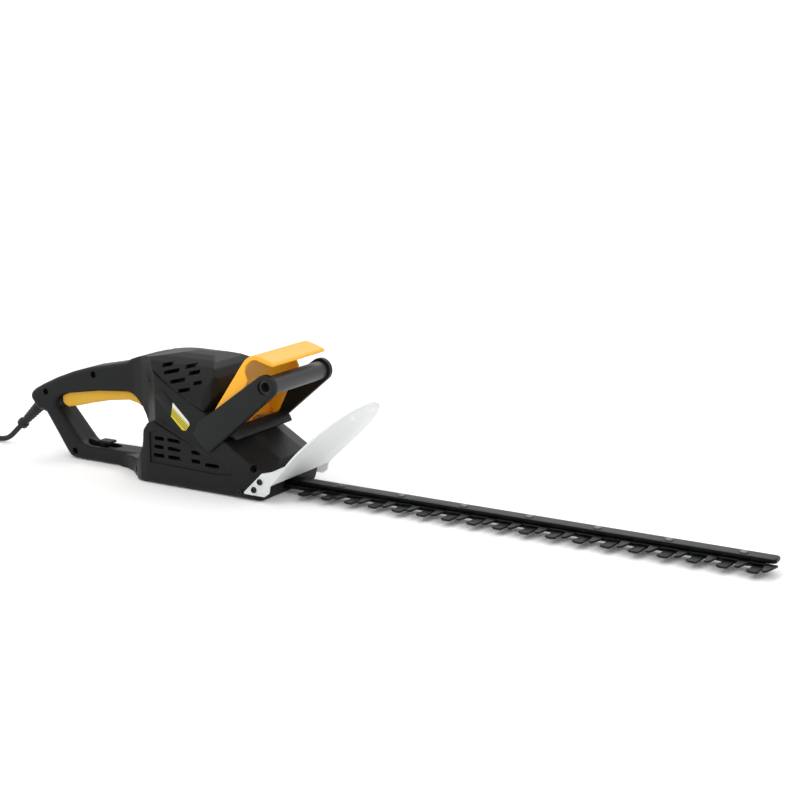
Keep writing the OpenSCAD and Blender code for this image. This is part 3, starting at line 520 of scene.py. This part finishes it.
HOLLOW_FRONT = [
    (0, 0), (47.5, 0), (47.5, 104), (45.5, 114), (41, 124), (35, 132), (26, 139), (14, 143.5),
    (0, 145.5)]
GRIP_HOLLOW = [
    (-428, 72), (-395, 82.5), (-341, 91), (-296, 95.5), (-271, 94), (-250, 94), (-250, 126),
    (-279, 128), (-303, 121), (-352, 110.5), (-381, 101.5), (-407, 91.5), (-426, 82)]
TRIGGER_SLOT = [(-404, 62), (-265, 62), (-265, 99), (-300, 98.5), (-341, 95), (-402, 87)]
TRIGGER_PIN_AT = (-393, 80.3)
TUBE_AT = (-70.5, 129.5)
ARM_SIDE = arc(TUBE_AT, 13.5, -42, 132, 18) + [
    (-156.5, 83.5), (-160.5, 80.5), (-168, 67), (-166, 62), (-150, 48.5), (-145, 48)]
SLEEVE_AT = (-442, 59.5)
SLEEVE_TURN = 41.5
RIDGE_AT = (-120.5, 57, 31)
RIDGE_SLOPE = 21.3
RIDGE_TURN = 3.4


def mirrored(half, flat):
    """A whole outline from half of one; flat is the coordinate that changes sign."""
    other = [(-a, b) if flat == 0 else (a, -b) for a, b in reversed(half) if (a, b)[flat] > 0]
    return half + other


def three_views(name, side, plan, front):
    """The common part of a side view, a plan and a front view."""
    solid = as_object(prism(side, -70, 70), name)
    boolean(solid, as_object(prism(mirrored(plan, 1), -5, 160, "z"), "plan"), "INTERSECT")
    return boolean(solid, as_object(prism(mirrored(front, 0), -310, -50, "x"), "front"),
                   "INTERSECT")


def box(low, high):
    """A square block between two corners, in millimetres."""
    return prism([(low[0], low[2]), (high[0], low[2]), (high[0], high[2]), (low[0], high[2])],
                 low[1], high[1])


print("outlines ready,", len(HANDLE_SIDE) + len(FLANK_SIDE) + len(DOME_SIDE), "points in three sides")

# %% [markdown]
# ## The housing
# The real housing is two moulded halves that meet in the middle plane. The handle is a slab with
# round rims and a hand hole whose rim flares, and the body is the common part of three views, cut
# back above the ridge that runs along each flank. They are melted into one skin first, because that
# gives the soft corners of a moulding, and only then are the openings cut, so they keep clean edges.
# The skin is parted into the two halves at the end.

# %% Solid skin of handle and body
def hand_hole_cutter():
    """The hand hole, flared on both sides so that its rims turn round."""
    bm = prism(HAND_HOLE, -12.2, 12.2)
    for end in [f for f in bm.faces if len(f.verts) == len(HAND_HOLE)]:
        round_rim(bm, end, 6, 5, outward=True)
    return bm


def on_upper_side(side):
    """The frame of the inclined side above the ridge, on the left (1) or the right (-1)."""
    frame_here = (Matrix.Translation(Vector(RIDGE_AT) * MM)
                  @ Matrix.Rotation(math.radians(RIDGE_SLOPE), 4, "Y")
                  @ Matrix.Rotation(math.radians(RIDGE_TURN), 4, "Z"))
    return frame_here if side > 0 else Matrix.Diagonal((1, -1, 1, 1)) @ frame_here


def roof_cutter(drop=0):
    """Slanted cut that leaves the nose roof higher in the middle than at the sides."""
    bm = box((0, 0, 0), (90, 60, 30))
    return turned(bm, Matrix.Translation(Vector((-70, 24, 39.6 - drop)) * MM)
                  @ Matrix.Rotation(math.radians(30.2), 4, "Y")
                  @ Matrix.Translation(Vector((-60, 0, 0)) * MM)
                  @ Matrix.Rotation(math.radians(-17), 4, "X"))


def upper_side_cutter():
    bm = prism([(-190, 0.4), (0, 0.4), (0, 90), (-190, 90)], 0, 30)
    return turned(bm, on_upper_side(1))


def solid_skin():
    handle = as_object(prism(HANDLE_SIDE, -18, 18, rim=7, steps=5, both=True), "handle")
    boolean(handle, as_object(hand_hole_cutter(), "hole"), "DIFFERENCE")
    body = three_views("housing", FLANK_SIDE, FLANK_PLAN, BODY_FRONT)
    boolean(body, three_views("neck", NECK_SIDE, NECK_PLAN, BODY_FRONT), "UNION")
    boolean(body, three_views("gusset", GUSSET_SIDE, GUSSET_PLAN, BODY_FRONT), "UNION")
    for cutter in (roof_cutter(), upper_side_cutter()):
        boolean(body, as_object(both_sides(cutter), "cutter"), "DIFFERENCE")
    boolean(body, handle, "UNION")
    return melt(body, 1.25, 5)


skin = solid_skin()
print("skin of", len(skin.data.polygons), "faces")

# %% [markdown]
# ## Openings of the housing
# Everything that passes through the wall, or sits in it, has its own cutter: the hollow for the
# motor, the slot of the trigger, the seats of the front handle, the outlet of the blades, the sleeve
# of the cord, the vents and the screw wells. The cutters are plain solids, and one boolean with the
# exact manifold solver cuts each of them.

# %% Openings
VENT_ROWS = [
    (-225, -211, 54), (-206.5, -187.5, 54), (-226, -212, 44), (-206.5, -187.5, 44),
    (-173.5, -160.5, 44), (-227, -211, 34), (-206.5, -187.5, 34), (-173.5, -160.5, 34),
    (-154.5, -134.5, 32)]
VENT_HEIGHT = 4.6
VENT_PANEL = [(-231, 25), (-140, 23), (-116, 25), (-132, 35), (-155, 43.5), (-221, 64), (-231, 60)]
# wells of the long screws on the right: [x, z, half depth of the part there]
LONG_SCREWS = [(-421, 78, 15), (-345, 107, 15), (-378, 10, 15), (-247, 116, 33), (-263, 9, 41),
               (-88, 36, 51)]
BOW_BOLTS = [(-157, 72), (-143, 56)]


def vent(x0, x1, z):
    r = VENT_HEIGHT / 2
    return prism(arc((x1 - r, z), r, -90, 90, 8) + arc((x0 + r, z), r, 90, 270, 8), 40, 60)


def grown(outline, by):
    """An outline moved outwards by a small gap, worked out along its corners' middle lines."""
    out = []
    for i, here in enumerate(outline):
        a, b = Vector(outline[i - 1]), Vector(outline[(i + 1) % len(outline)])
        here = Vector(here)
        u, v = (here - a).normalized(), (b - here).normalized()
        corner = Vector((u.y + v.y, -u.x - v.x)) / (1 + u.dot(v))
        out.append(tuple(here + by * corner))
    return out


def sleeve_cutter():
    bm = together(rod(6.3, -20, 10, "z"), rod(9.3, -14, -9, "z"))
    return turned(bm, sleeve_frame())


def sleeve_frame():
    """The frame of the cord sleeve, with z out of the housing."""
    return (Matrix.Translation(Vector((SLEEVE_AT[0], 0, SLEEVE_AT[1])) * MM)
            @ Matrix.Rotation(math.radians(-90 - SLEEVE_TURN), 4, "Y"))


def middle_cutters():
    """Openings that lie on the middle plane."""
    hook_well = turned(rod(25, 12, 32, "z", sides=48), Matrix.Translation((-0.346, 0, 0))
                       @ Matrix.Diagonal((1, 0.42, 1, 1)))
    return [prism(GRIP_HOLLOW, -13.5, 13.5), prism(TRIGGER_SLOT, -11.6, 11.6),
            box((-86, -12.5, 4.8), (-60, 12.5, 15.7)), box((-196.3, -34.3, -3), (-93.7, 34.3, 5)),
            box((-143.5, -5, 50), (-130.5, 5, 70)), hook_well, sleeve_cutter(),
            rod(2.1, -14.2, 14.2, at=TRIGGER_PIN_AT)]


def side_cutters():
    """Openings that both sides have, made on the left."""
    return ([vent(*row) for row in VENT_ROWS] + [prism(VENT_PANEL, 55.6, 64)]
            + [prism(grown(ARM_SIDE, 0.3), 51.2, 64)] + [rod(1.7, 30, 60, at=b) for b in BOW_BOLTS]
            + [rod(4, 30, 47.5, at=b) for b in BOW_BOLTS] + [rod(3, 40, 60, at=(-132, 73))])


hollow = three_views("low_hollow", HOLLOW_SIDE, LOW_HOLLOW_PLAN, HOLLOW_FRONT)
boolean(hollow, as_object(box((-300, -60, -1), (0, 60, 90)), "reach"), "INTERSECT")
boolean(hollow, as_object(both_sides(roof_cutter(4.2)), "roof"), "DIFFERENCE")
boolean(hollow, three_views("hollow", HOLLOW_SIDE, HOLLOW_PLAN, HOLLOW_FRONT), "UNION")
for x, z, depth in LONG_SCREWS:
    boolean(hollow, as_object(rod(4.5, -60, 60, at=(x, z)), "boss"), "DIFFERENCE")
dome_hollow = as_object(bmesh.new(), "dome_hollow")
dome_hollow.data = hollow.data.copy()
boolean(skin, hollow, "DIFFERENCE")
for cutter in middle_cutters():
    boolean(skin, as_object(cutter, "cutter"), "DIFFERENCE")
for cutter in side_cutters():
    boolean(skin, as_object(both_sides(cutter), "cutter"), "DIFFERENCE")
for x, z, depth in LONG_SCREWS:
    boolean(skin, as_object(rod(4.0, -depth - 20, -depth + 3, at=(x, z)), "well"), "DIFFERENCE")
print("openings cut,", len(skin.data.polygons), "faces")

# %% Two halves
def half_of(whole, name, side):
    """The part of a solid on one side of the middle plane."""
    piece = as_object(bmesh.new(), name)
    piece.data = whole.data.copy()
    reach = box((-600, 0.1, -20), (100, 90, 250))
    if side < 0:
        bmesh.ops.scale(reach, vec=(1, -1, 1), verts=reach.verts)
        bmesh.ops.reverse_faces(reach, faces=reach.faces)
    return boolean(piece, as_object(reach, "reach"), "INTERSECT")


for side, name in ((1, "housing_left"), (-1, "housing_right")):
    shell = half_of(skin, "shell_" + name[8:], side)
    finish_piece(shell, BLACK, "housing", [name])
bpy.data.objects.remove(skin)

# %% [markdown]
# ## The dome over the motor
# The upper cover is a separate moulding with a crowned back, a bevel to each side and two columns of
# vents. It is the common part of its three views too, and it is melted and then cut like the housing.

# %% Dome cover
# rows of dome vents: [x, z] of the lower rear corner and the length
DOME_VENTS = [(-222, 133, 13), (-216, 126, 20), (-204, 117.5, 20), (-191, 109, 16),
              (-190, 134.5, 13), (-182, 128.5, 14), (-172, 119, 11)]


def dome_vent(x, z, length):
    bm = prism([(0, 0), (length, 0), (length, 4.2), (0, 4.2)], 30, 60)
    return turned(bm, Matrix.Translation(Vector((x, 0, z)) * MM)
                  @ Matrix.Rotation(math.radians(-14), 4, "Y"))


dome = melt(three_views("dome_cover", DOME_SIDE, DOME_PLAN, DOME_FRONT), 1.2, 5)
boolean(dome, dome_hollow, "DIFFERENCE")
cutters = [dome_vent(*row) for row in DOME_VENTS]
cutters += [prism(grown(ARM_SIDE, 0.4), 51.2, 64), rod(5, 0.2, 60, at=(-247, 116))]
for cutter in cutters:
    boolean(dome, as_object(both_sides(cutter), "cutter"), "DIFFERENCE")
finish_piece(dome, BLACK, "housing", ["top_cover"])

# %% [markdown]
# ## Frame parts that keep their own shape
# Turned and stamped parts are already right as the frame has them: pins, gears, bearings, the motor
# and its case. They only need a finish, so each node's material slots take the one that suits it.

# %% Finishes for frame parts
NODE_FINISHES = {
    CORD_PVC: ["cord_sleeve"],
    BLACK: ["cord_hook"],
    ZINC: ["bar_axle", "trigger_pin", "gear_pin", "motor_shaft", "plug_pins", "bar_rivets",
           "bolt_nuts", "bar_spring", "trigger_spring", "base_plate"],
    BLACK_SCREW: ["base_screws", "cover_screws"],
    GEAR_STEEL: ["gear_wheel", "eccentric", "pinion", "motor_bearings"],
    CAST: ["gear_case", "gear_cover"],
    DARK_NYLON: ["front_switch", "rear_switch", "motor_frame", "fan"],
    RED_NYLON: ["front_button", "rear_button"],
    FILM: ["capacitor"],
    IRON: ["rotor_core", "stator"],
    COPPER: ["rotor_windings", "field_coils", "commutator"],
    CARBON: ["brushes"]}
for finish, names in NODE_FINISHES.items():
    for name in names:
        node_mesh = nodes[name].data
        node_mesh.materials.clear()
        node_mesh.materials.append(finish.material)
print("finishes given to", sum(len(names) for names in NODE_FINISHES.values()), "frame parts")

# %% [markdown]
# ## Turned parts
# Screws, bolts and the plug are round, so each is half a section spun about its own axis. Beveling a
# cylinder would work too, but a section says at once how high the head's dome is and where the shank
# starts. Screw heads get a cross recess, cut into each screw as it is made.

# %% Helpers for turned parts
CROSS = [(-0.5, -2), (0.5, -2), (0.5, -0.5), (2, -0.5), (2, 0.5), (0.5, 0.5), (0.5, 2), (-0.5, 2),
         (-0.5, 0.5), (-2, 0.5), (-2, -0.5), (-0.5, -0.5)]


def spun(section, sides=32):
    """A closed solid from half a section of [radius, height] points, turned about the z axis."""
    bm = bmesh.new()
    verts = [bm.verts.new(Vector((r, 0, z)) * MM) for r, z in section]
    edges = [bm.edges.new(pair) for pair in zip(verts, verts[1:])]
    bmesh.ops.spin(bm, geom=verts + edges, cent=(0, 0, 0), axis=(0, 0, 1), angle=2 * math.pi,
                   steps=sides, use_merge=True)
    bmesh.ops.remove_doubles(bm, verts=bm.verts, dist=0.00001)
    bmesh.ops.recalc_face_normals(bm, faces=bm.faces)
    return bm


def mesh_of(made):
    """An object turned back into a bmesh."""
    bm = bmesh.new()
    bm.from_mesh(made.data)
    bpy.data.objects.remove(made)
    return bm


def screw(head, height, shank, length, recess=True):
    """A screw whose head stands on the plane z = 0."""
    bm = spun([(0, -length), (shank, -length), (shank, 0), (head, 0), (head, height * 0.4),
               (head * 0.93, height * 0.72), (head * 0.75, height * 0.93), (head * 0.4, height),
               (0, height)])
    if not recess:
        return bm
    made = as_object(bm, "screw")
    return mesh_of(boolean(made, as_object(prism(CROSS, height - 1.3, height + 2, "z"), "cross"),
                           "DIFFERENCE"))


def sideways(x, z, out):
    """The frame at a place on the side of the tool, with z outwards; out is y, left is positive."""
    return (Matrix.Translation(Vector((x, out, z)) * MM)
            @ Matrix.Rotation(math.radians(-90 if out > 0 else 90), 4, "X"))


print("helpers for turned parts ready")

# %% [markdown]
# ## The front handle
# Two arms grow out of the housing's flanks and meet at the chin below the switch bar, and a soft
# tube lies between them. Each arm is a plate with a round rim. The tube could be a plain cylinder,
# but its ends are cups for the screws, and the dark cup is what is seen from the side.

# %% Arms, chin and tube
AXLE_AT = (-132, 73)
CHIN_SIDE = [(-121.6, 67.4), (-117, 67.4), (-112, 64.6), (-109.5, 66.5), (-112, 72), (-117, 76.5),
             (-121.6, 77.6)]


def front_bow():
    bow = as_object(both_sides(prism(ARM_SIDE, 51.5, 59, rim=2.4, steps=4)), "front_bow")
    boolean(bow, as_object(prism(CHIN_SIDE, -52, 52), "chin"), "UNION")
    bores = [rod(8.05, -70, 70, at=TUBE_AT), rod(2.55, -56.5, 56.5, at=AXLE_AT)]
    for place in BOW_BOLTS:
        bores.append(rod(1.55, -57, 57, at=place))
    for bore in bores:
        boolean(bow, as_object(bore, "bore"), "DIFFERENCE")
    return finish_piece(bow, BOW_BLACK, "housing", ["handle_bow"])


def front_tube():
    half = [(55.3, 5.6), (55.5, 8), (51.4, 8), (51.4, 9.9), (50.8, 10.5)]
    section = [(0, -45), (5.2, -45), (5.6, -55.3)] + [(r, -y) for y, r in half[1:]]
    section += [(r, y) for y, r in reversed(half[1:])] + [(5.6, 55.3), (5.2, 45), (0, 45)]
    bm = turned(spun(section, 64), sideways(TUBE_AT[0], TUBE_AT[1], 0))
    return finish_piece(as_object(bm, "front_tube"), TUBE_GREY, "housing", ["handle_tube"])


front_bow()
front_tube()

# %% [markdown]
# ## The switch bar
# The yellow bar is one bent plate as wide as the handle, with a rolled lip on top, cheeks and thin
# ribs behind it, and a tongue that presses the switch. The parts are pushed out from their side
# outlines and melted into one skin, since a mould rounds every inner corner of such a piece.

# %% Switch bar
PLATE_SIDE = [
    (-138.5, 69), (-134.5, 70.5), (-142.4, 87), (-140, 91.5), (-103, 143.5), (-98.5, 150.5),
    (-92.5, 155.5), (-86, 156.8), (-67, 151.8), (-63.5, 151.2), (-62, 153.2), (-65, 156),
    (-80, 160.6), (-87, 162), (-94, 160.4), (-101, 155.5), (-106.5, 148), (-143.6, 94.2),
    (-147, 88)]
CHEEK_SIDE = [
    (-137, 68), (-129, 69), (-126, 76), (-112, 104), (-97, 132), (-101, 141), (-99.5, 149),
    (-94, 155), (-93, 158.5), (-101, 154.5), (-106, 147), (-143, 93), (-146.4, 88)]
RIB_SIDE = [(-142, 88.5), (-134, 87), (-119, 106), (-116, 127), (-124, 120)]
TONGUE_SIDE = [(-139, 51), (-134, 51), (-133, 70), (-128, 73), (-132, 78), (-142, 82), (-140, 70)]
CHEEK_OUT = 50.7


def switch_bar():
    bar = as_object(prism(PLATE_SIDE, -CHEEK_OUT, CHEEK_OUT), "front_lever")
    parts = [both_sides(prism(CHEEK_SIDE, CHEEK_OUT - 3.4, CHEEK_OUT)),
             both_sides(rod(5.5, CHEEK_OUT - 7, CHEEK_OUT, at=AXLE_AT)), prism(TONGUE_SIDE, -4, 4)]
    parts += [prism(RIB_SIDE, y - 1.1, y + 1.1) for y in range(-36, 37, 12)]
    for part in parts:
        boolean(bar, as_object(part, "part"), "UNION")
    melt(bar, 0.9, 5)
    boolean(bar, as_object(rod(2.55, -70, 70, at=AXLE_AT), "bore"), "DIFFERENCE")
    return finish_piece(bar, YELLOW, "switch_bar", ["switch_bar"])


switch_bar()

# %% [markdown]
# ## The trigger
# The rear trigger is a long thick paddle that turns on a pin at its rear end. Both its rims are
# rounded where the fingers close round it, so it is one outline with a rim on each side.

# %% Trigger
TRIGGER_SIDE = [
    (-401, 72), (-400.5, 66), (-397, 63), (-391.5, 61.2), (-377, 64.3), (-355, 70.2), (-326, 76.8),
    (-298, 80.5), (-284.5, 77.9), (-276, 73.8), (-269.5, 69.5), (-266.8, 72), (-268.5, 81),
    (-274, 89.5), (-280, 92), (-341, 89), (-392, 84.2), (-399, 82.5)]


def trigger():
    paddle = as_object(prism(TRIGGER_SIDE, -11, 11, rim=1.9, steps=4, both=True), "rear_trigger")
    boolean(paddle, as_object(rod(2.05, -20, 20, at=TRIGGER_PIN_AT), "bore"), "DIFFERENCE")
    # its yellow carries painted shade from the grip above it
    return finish_piece(paddle, SHADED_TRIGGER_YELLOW, "trigger", ["trigger"])


trigger()

# %% [markdown]
# ## The hand guard
# A milky plate leans back between the hands and the blade, and two legs carry it on the nose. It is
# drawn in its own plane and then tilted, since its outline is simple there and nowhere else.

# %% Guard plate and legs
GUARD_LENGTH = 127.28
GUARD_HALF = [(0, 0), (58.5, 0), (61, 16), (65.5, 36)] + arc(
    (0, GUARD_LENGTH - 68), 68, -20, 80, 20) + [(0, GUARD_LENGTH)]
LEG_SIDE = [(-99, 7.5), (-72, 7.5), (-66, 12), (-64.5, 20), (-48, 38), (-44, 46), (-62, 37),
            (-75, 33.5), (-98.5, 10)]
GUARD_SCREWS = [(-77, 24), (-85, 14)]


def guard():
    lean = math.sqrt(0.5)
    tilt = Matrix(((0, lean, lean, -66.5 * MM), (1, 0, 0, 0), (0, lean, -lean, 22 * MM),
                   (0, 0, 0, 1)))
    plate = prism(mirrored(GUARD_HALF, 0), 0, 2.5, "z", rim=0.7, steps=3, both=True)
    made = as_object(turned(plate, tilt), "hand_guard")
    boolean(made, as_object(both_sides(prism(LEG_SIDE, 57.3, 59.8, rim=0.7, steps=3)), "legs"),
            "UNION")
    for place in GUARD_SCREWS:
        boolean(made, as_object(rod(1.7, -70, 70, at=place), "bore"), "DIFFERENCE")
    return finish_piece(made, GUARD_MILK, "housing", ["guard"])


guard()

# %% [markdown]
# ## Guide bar and bolts
# The bar is a flat strip that the blades slide under, and a row of bolts through long slots holds
# them together. The bolts have low domed heads and stand on the bar, with the shank through it.

# %% Bar and bolts
BOLT_PLACES = [-9.7 + 76.5 * i for i in range(7)]
BAR_TOP = 15.1
BAR_END = 483.5


def guide_bar():
    outline = [(-137, -8.5), (BAR_END - 3, -8.5), (BAR_END, -5.5), (BAR_END, 5.5),
               (BAR_END - 3, 8.5), (-137, 8.5)]
    bar = as_object(prism(outline, 10.6, BAR_TOP, "z", rim=0.9, steps=3, both=True), "cutter_bar")
    bores = [rod(2.5, 0, 30, "z", (x, 0)) for x in BOLT_PLACES]
    bores += [rod(2, 0, 30, "z", (x, 0)) for x in (-122, -100)]
    boolean(bar, as_object(together(*bores), "bores"), "DIFFERENCE")
    return finish_piece(bar, BAR_BLACK, "housing", ["guide_bar"])


def bolts():
    made = [turned(screw(4.25, 1.7, 2.5, 12.5, recess=False),
                   Matrix.Translation(Vector((x, 0, BAR_TOP)) * MM)) for x in BOLT_PLACES]
    return finish_piece(as_object(together(*made), "cutter_bolts"), DULL_STEEL, "housing", ["bar_bolts"])


guide_bar()
bolts()

# %% [markdown]
# ## The two blades
# A blade is stamped from a strip and its teeth are ground, so the flat is black and the tooth edges
# are bare metal. The frame's outline of each blade is already exact. A copy of it is merged, its
# flat faces are made whole, and the edges of the teeth are bevelled into the ground facets.

# %% Blades
def blade(name, body, new_name):
    bm = bmesh.new()
    bm.from_mesh(nodes[name].data)
    bmesh.ops.remove_doubles(bm, verts=bm.verts, dist=0.00001)
    bmesh.ops.dissolve_limit(bm, angle_limit=math.radians(1), verts=bm.verts, edges=bm.edges)
    rims = [e for e in bm.edges if min(abs(v.co.y) for v in e.verts) > 0.0095
            and e.is_manifold and e.calc_face_angle() > 1.2
            and abs(e.verts[0].co.z - e.verts[1].co.z) < 0.0001
            and min(v.co.x for v in e.verts) > -0.07]
    bmesh.ops.bevel(bm, geom=rims, offset=0.6 * MM, segments=1, affect="EDGES", profile=0.5,
                    material=-1)
    for face in bm.faces:
        if 0.3 < abs(face.normal.z) < 0.95:
            face.material_index = 1
    made = finish_piece(as_object(bm, new_name), BLADE_BLACK, body, [name], 25)
    made.data.materials.append(GROUND_EDGE.material)
    return made


blade("upper_blade", "upper_blade", "top_blade")
blade("lower_blade", "lower_blade", "bottom_blade")

# %% [markdown]
# ## Screws
# The long housing screws sit deep in their wells on the right, the handle's screws come from inside
# the housing, and the guard's stand proud of its legs. The tube's are at the bottom of its cups.

# %% Screw sets
def screw_set(name, replaced, finish, frames, head, height, shank, length):
    made = [turned(screw(head, height, shank, length), place) for place in frames]
    return finish_piece(as_object(together(*made), name), finish, "housing", [replaced])


screw_set("case_screws", "housing_screws", BLACK_SCREW,
          [sideways(x, z, -depth + 3) for x, z, depth in LONG_SCREWS]
          + [sideways(-106, 8, y) for y in (-57, 57)], 3.4, 2.2, 1.5, 12)
screw_set("arm_screws", "bow_screws", BLACK_SCREW,
          [sideways(x, z, y) @ Matrix.Rotation(math.pi, 4, "X")
           for x, z in BOW_BOLTS for y in (-47.5, 47.5)], 3.5, 2.2, 1.5, 9)
screw_set("cup_screws", "tube_screws", BLACK_SCREW,
          [sideways(*TUBE_AT, y) for y in (-45, 45)], 3.5, 2.2, 1.4, 14)
screw_set("leg_screws", "guard_screws", BLACK_SCREW,
          [sideways(x, z, y) for x, z in GUARD_SCREWS for y in (-59.8, 59.8)], 3.5, 2, 1.5, 13)

# %% [markdown]
# ## The side labels
# Each side has a sticker with a dark field, yellow bands and a pale strip. The maker's lettering is
# left out, and plain bands stand in for it. They are drawn by masks on the place along the label, so
# they stay crisp at any distance.

# %% Label finish and plates
LABEL_OUTLINE = [(-124, 28), (-121, 24.5), (-75, 9.5), (-70, 11.5), (-67.5, 20), (-70, 23),
                 (-115, 38), (-121, 36)]


# where the label's rear end starts: [x, z], and how the label runs down along the side
LABEL_START = (-223.9, 105.6)
LABEL_RUN = (0.8, 0.6)
DARK_FIELD = 28


def label_finish():
    finish = Finish("side_label", Specular_IOR_Level=0.2)
    x, z = finish.axis("X") - LABEL_START[0], finish.axis("Z") - LABEL_START[1]
    along = x * LABEL_RUN[0] - z * LABEL_RUN[1]
    across = x * LABEL_RUN[1] + z * LABEL_RUN[0]
    colour = finish.blend(finish.step(across, 2.1, 2.3), (0.60, 0.50, 0.03), (0.012, 0.012, 0.013))
    for place in (-4.5, -2.3, 0):
        line = finish.step(abs(across - place), 0.35, 0.5)
        colour = finish.blend(line, (0.02, 0.02, 0.02), colour)
    colour = finish.blend(finish.step(across, 2.6, 2.8), colour, (0.62, 0.63, 0.62))
    field = finish.step(along + across * 0.5, DARK_FIELD - 0.2, DARK_FIELD + 0.2)
    colour = finish.blend(field, (0.003, 0.003, 0.003), colour)
    haze = finish.noise(9, 2)
    finish.feed(Base_Color=colour, Roughness=haze * 0.12 + 0.32)
    return finish


LABEL = label_finish()
for side, name in ((1, "label_left"), (-1, "label_right")):
    plate = turned(prism(LABEL_OUTLINE, 0, 0.6, rim=0.25, steps=2), on_upper_side(1))
    if side < 0:
        bmesh.ops.scale(plate, vec=(1, -1, 1), verts=plate.verts)
        bmesh.ops.reverse_faces(plate, faces=plate.faces)
    sticker = as_object(plate, "sticker_" + name[6:])
    finish_piece(sticker, LABEL, "housing", [name])

# %% [markdown]
# ## The plug
# The tail ends in a flat moulded plug: a short cone takes the cord and widens into a flat body that
# carries two pins. The two turned shapes are joined and melted, which gives the soft moulded edge.

# %% Plug body
def plug():
    body = as_object(spun([(0, 12), (11, 12), (15, 36), (0, 36)], 48), "mains_plug")
    boolean(body, as_object(box((-7.8, -20, 0), (7.8, 20, 60)), "flat"), "INTERSECT")
    boolean(body, as_object(spun([(0, 0), (4.5, 0), (6.5, 14), (0, 14)], 40), "neck"), "UNION")
    melt(body, 0.5, 5)
    end = Vector((SLEEVE_END_X - 71, -80.5, 8.1)) * MM
    body.data.transform(Matrix.Translation(end) @ Matrix.Rotation(math.radians(90), 4, "Y"))
    for side in (-9.5, 9.5):
        hole = rod(2.4, SLEEVE_END_X - 45, SLEEVE_END_X, "x", (-80.5 + side, 8.1), 32)
        boolean(body, as_object(hole, "hole"), "DIFFERENCE")
    return finish_piece(body, CORD_PVC, "housing", ["plug_body"])


plug()
cord.data.materials.append(CORD_PVC.material)

# %% [markdown]
# ## Floor and light
# A plain pale floor and a bright even room show a black tool best: wide soft lights from the left,
# the right and above draw long soft highlights on its edges, and nothing throws a hard shadow.

# %% Stage
def make_stage():
    bm = bmesh.new()
    bmesh.ops.create_grid(bm, x_segments=1, y_segments=1, size=40)
    bmesh.ops.translate(bm, vec=(0, 0, -0.0006), verts=bm.verts)
    floor = as_object(bm, "floor")
    paint = Finish("pale_floor", Roughness=0.9)
    paint.feed(Base_Color=paint.blend(paint.noise(400), (0.95, 0.95, 0.95), (0.97, 0.97, 0.97)))
    floor.data.materials.append(paint.material)
    world = bpy.data.worlds.new("room")
    world.use_nodes = True
    world.node_tree.nodes["Background"].inputs["Color"].default_value = (1, 1, 1, 1)
    world.node_tree.nodes["Background"].inputs["Strength"].default_value = 1.05
    bpy.context.scene.world = world
    bpy.context.scene.view_settings.view_transform = "Standard"


def soft_light(name, place, watts, width):
    data = bpy.data.lights.new(name, "AREA")
    data.shape = "DISK"
    data.size = width
    data.energy = watts
    light = bpy.data.objects.new(name, data)
    light.location = place
    light.rotation_euler = (AIM - Vector(place)).to_track_quat("-Z", "Y").to_euler()
    bpy.context.scene.collection.objects.link(light)


make_stage()
soft_light("key", (-0.9, -1.8, 2.2), 16, 1.6)
soft_light("fill", (2.0, -1.0, 1.4), 8, 1.6)
soft_light("back", (-0.4, 1.8, 2.0), 14, 1.6)
print("stage and lights made")

# %% [markdown]
# ## End

# %% End
print("scene built")
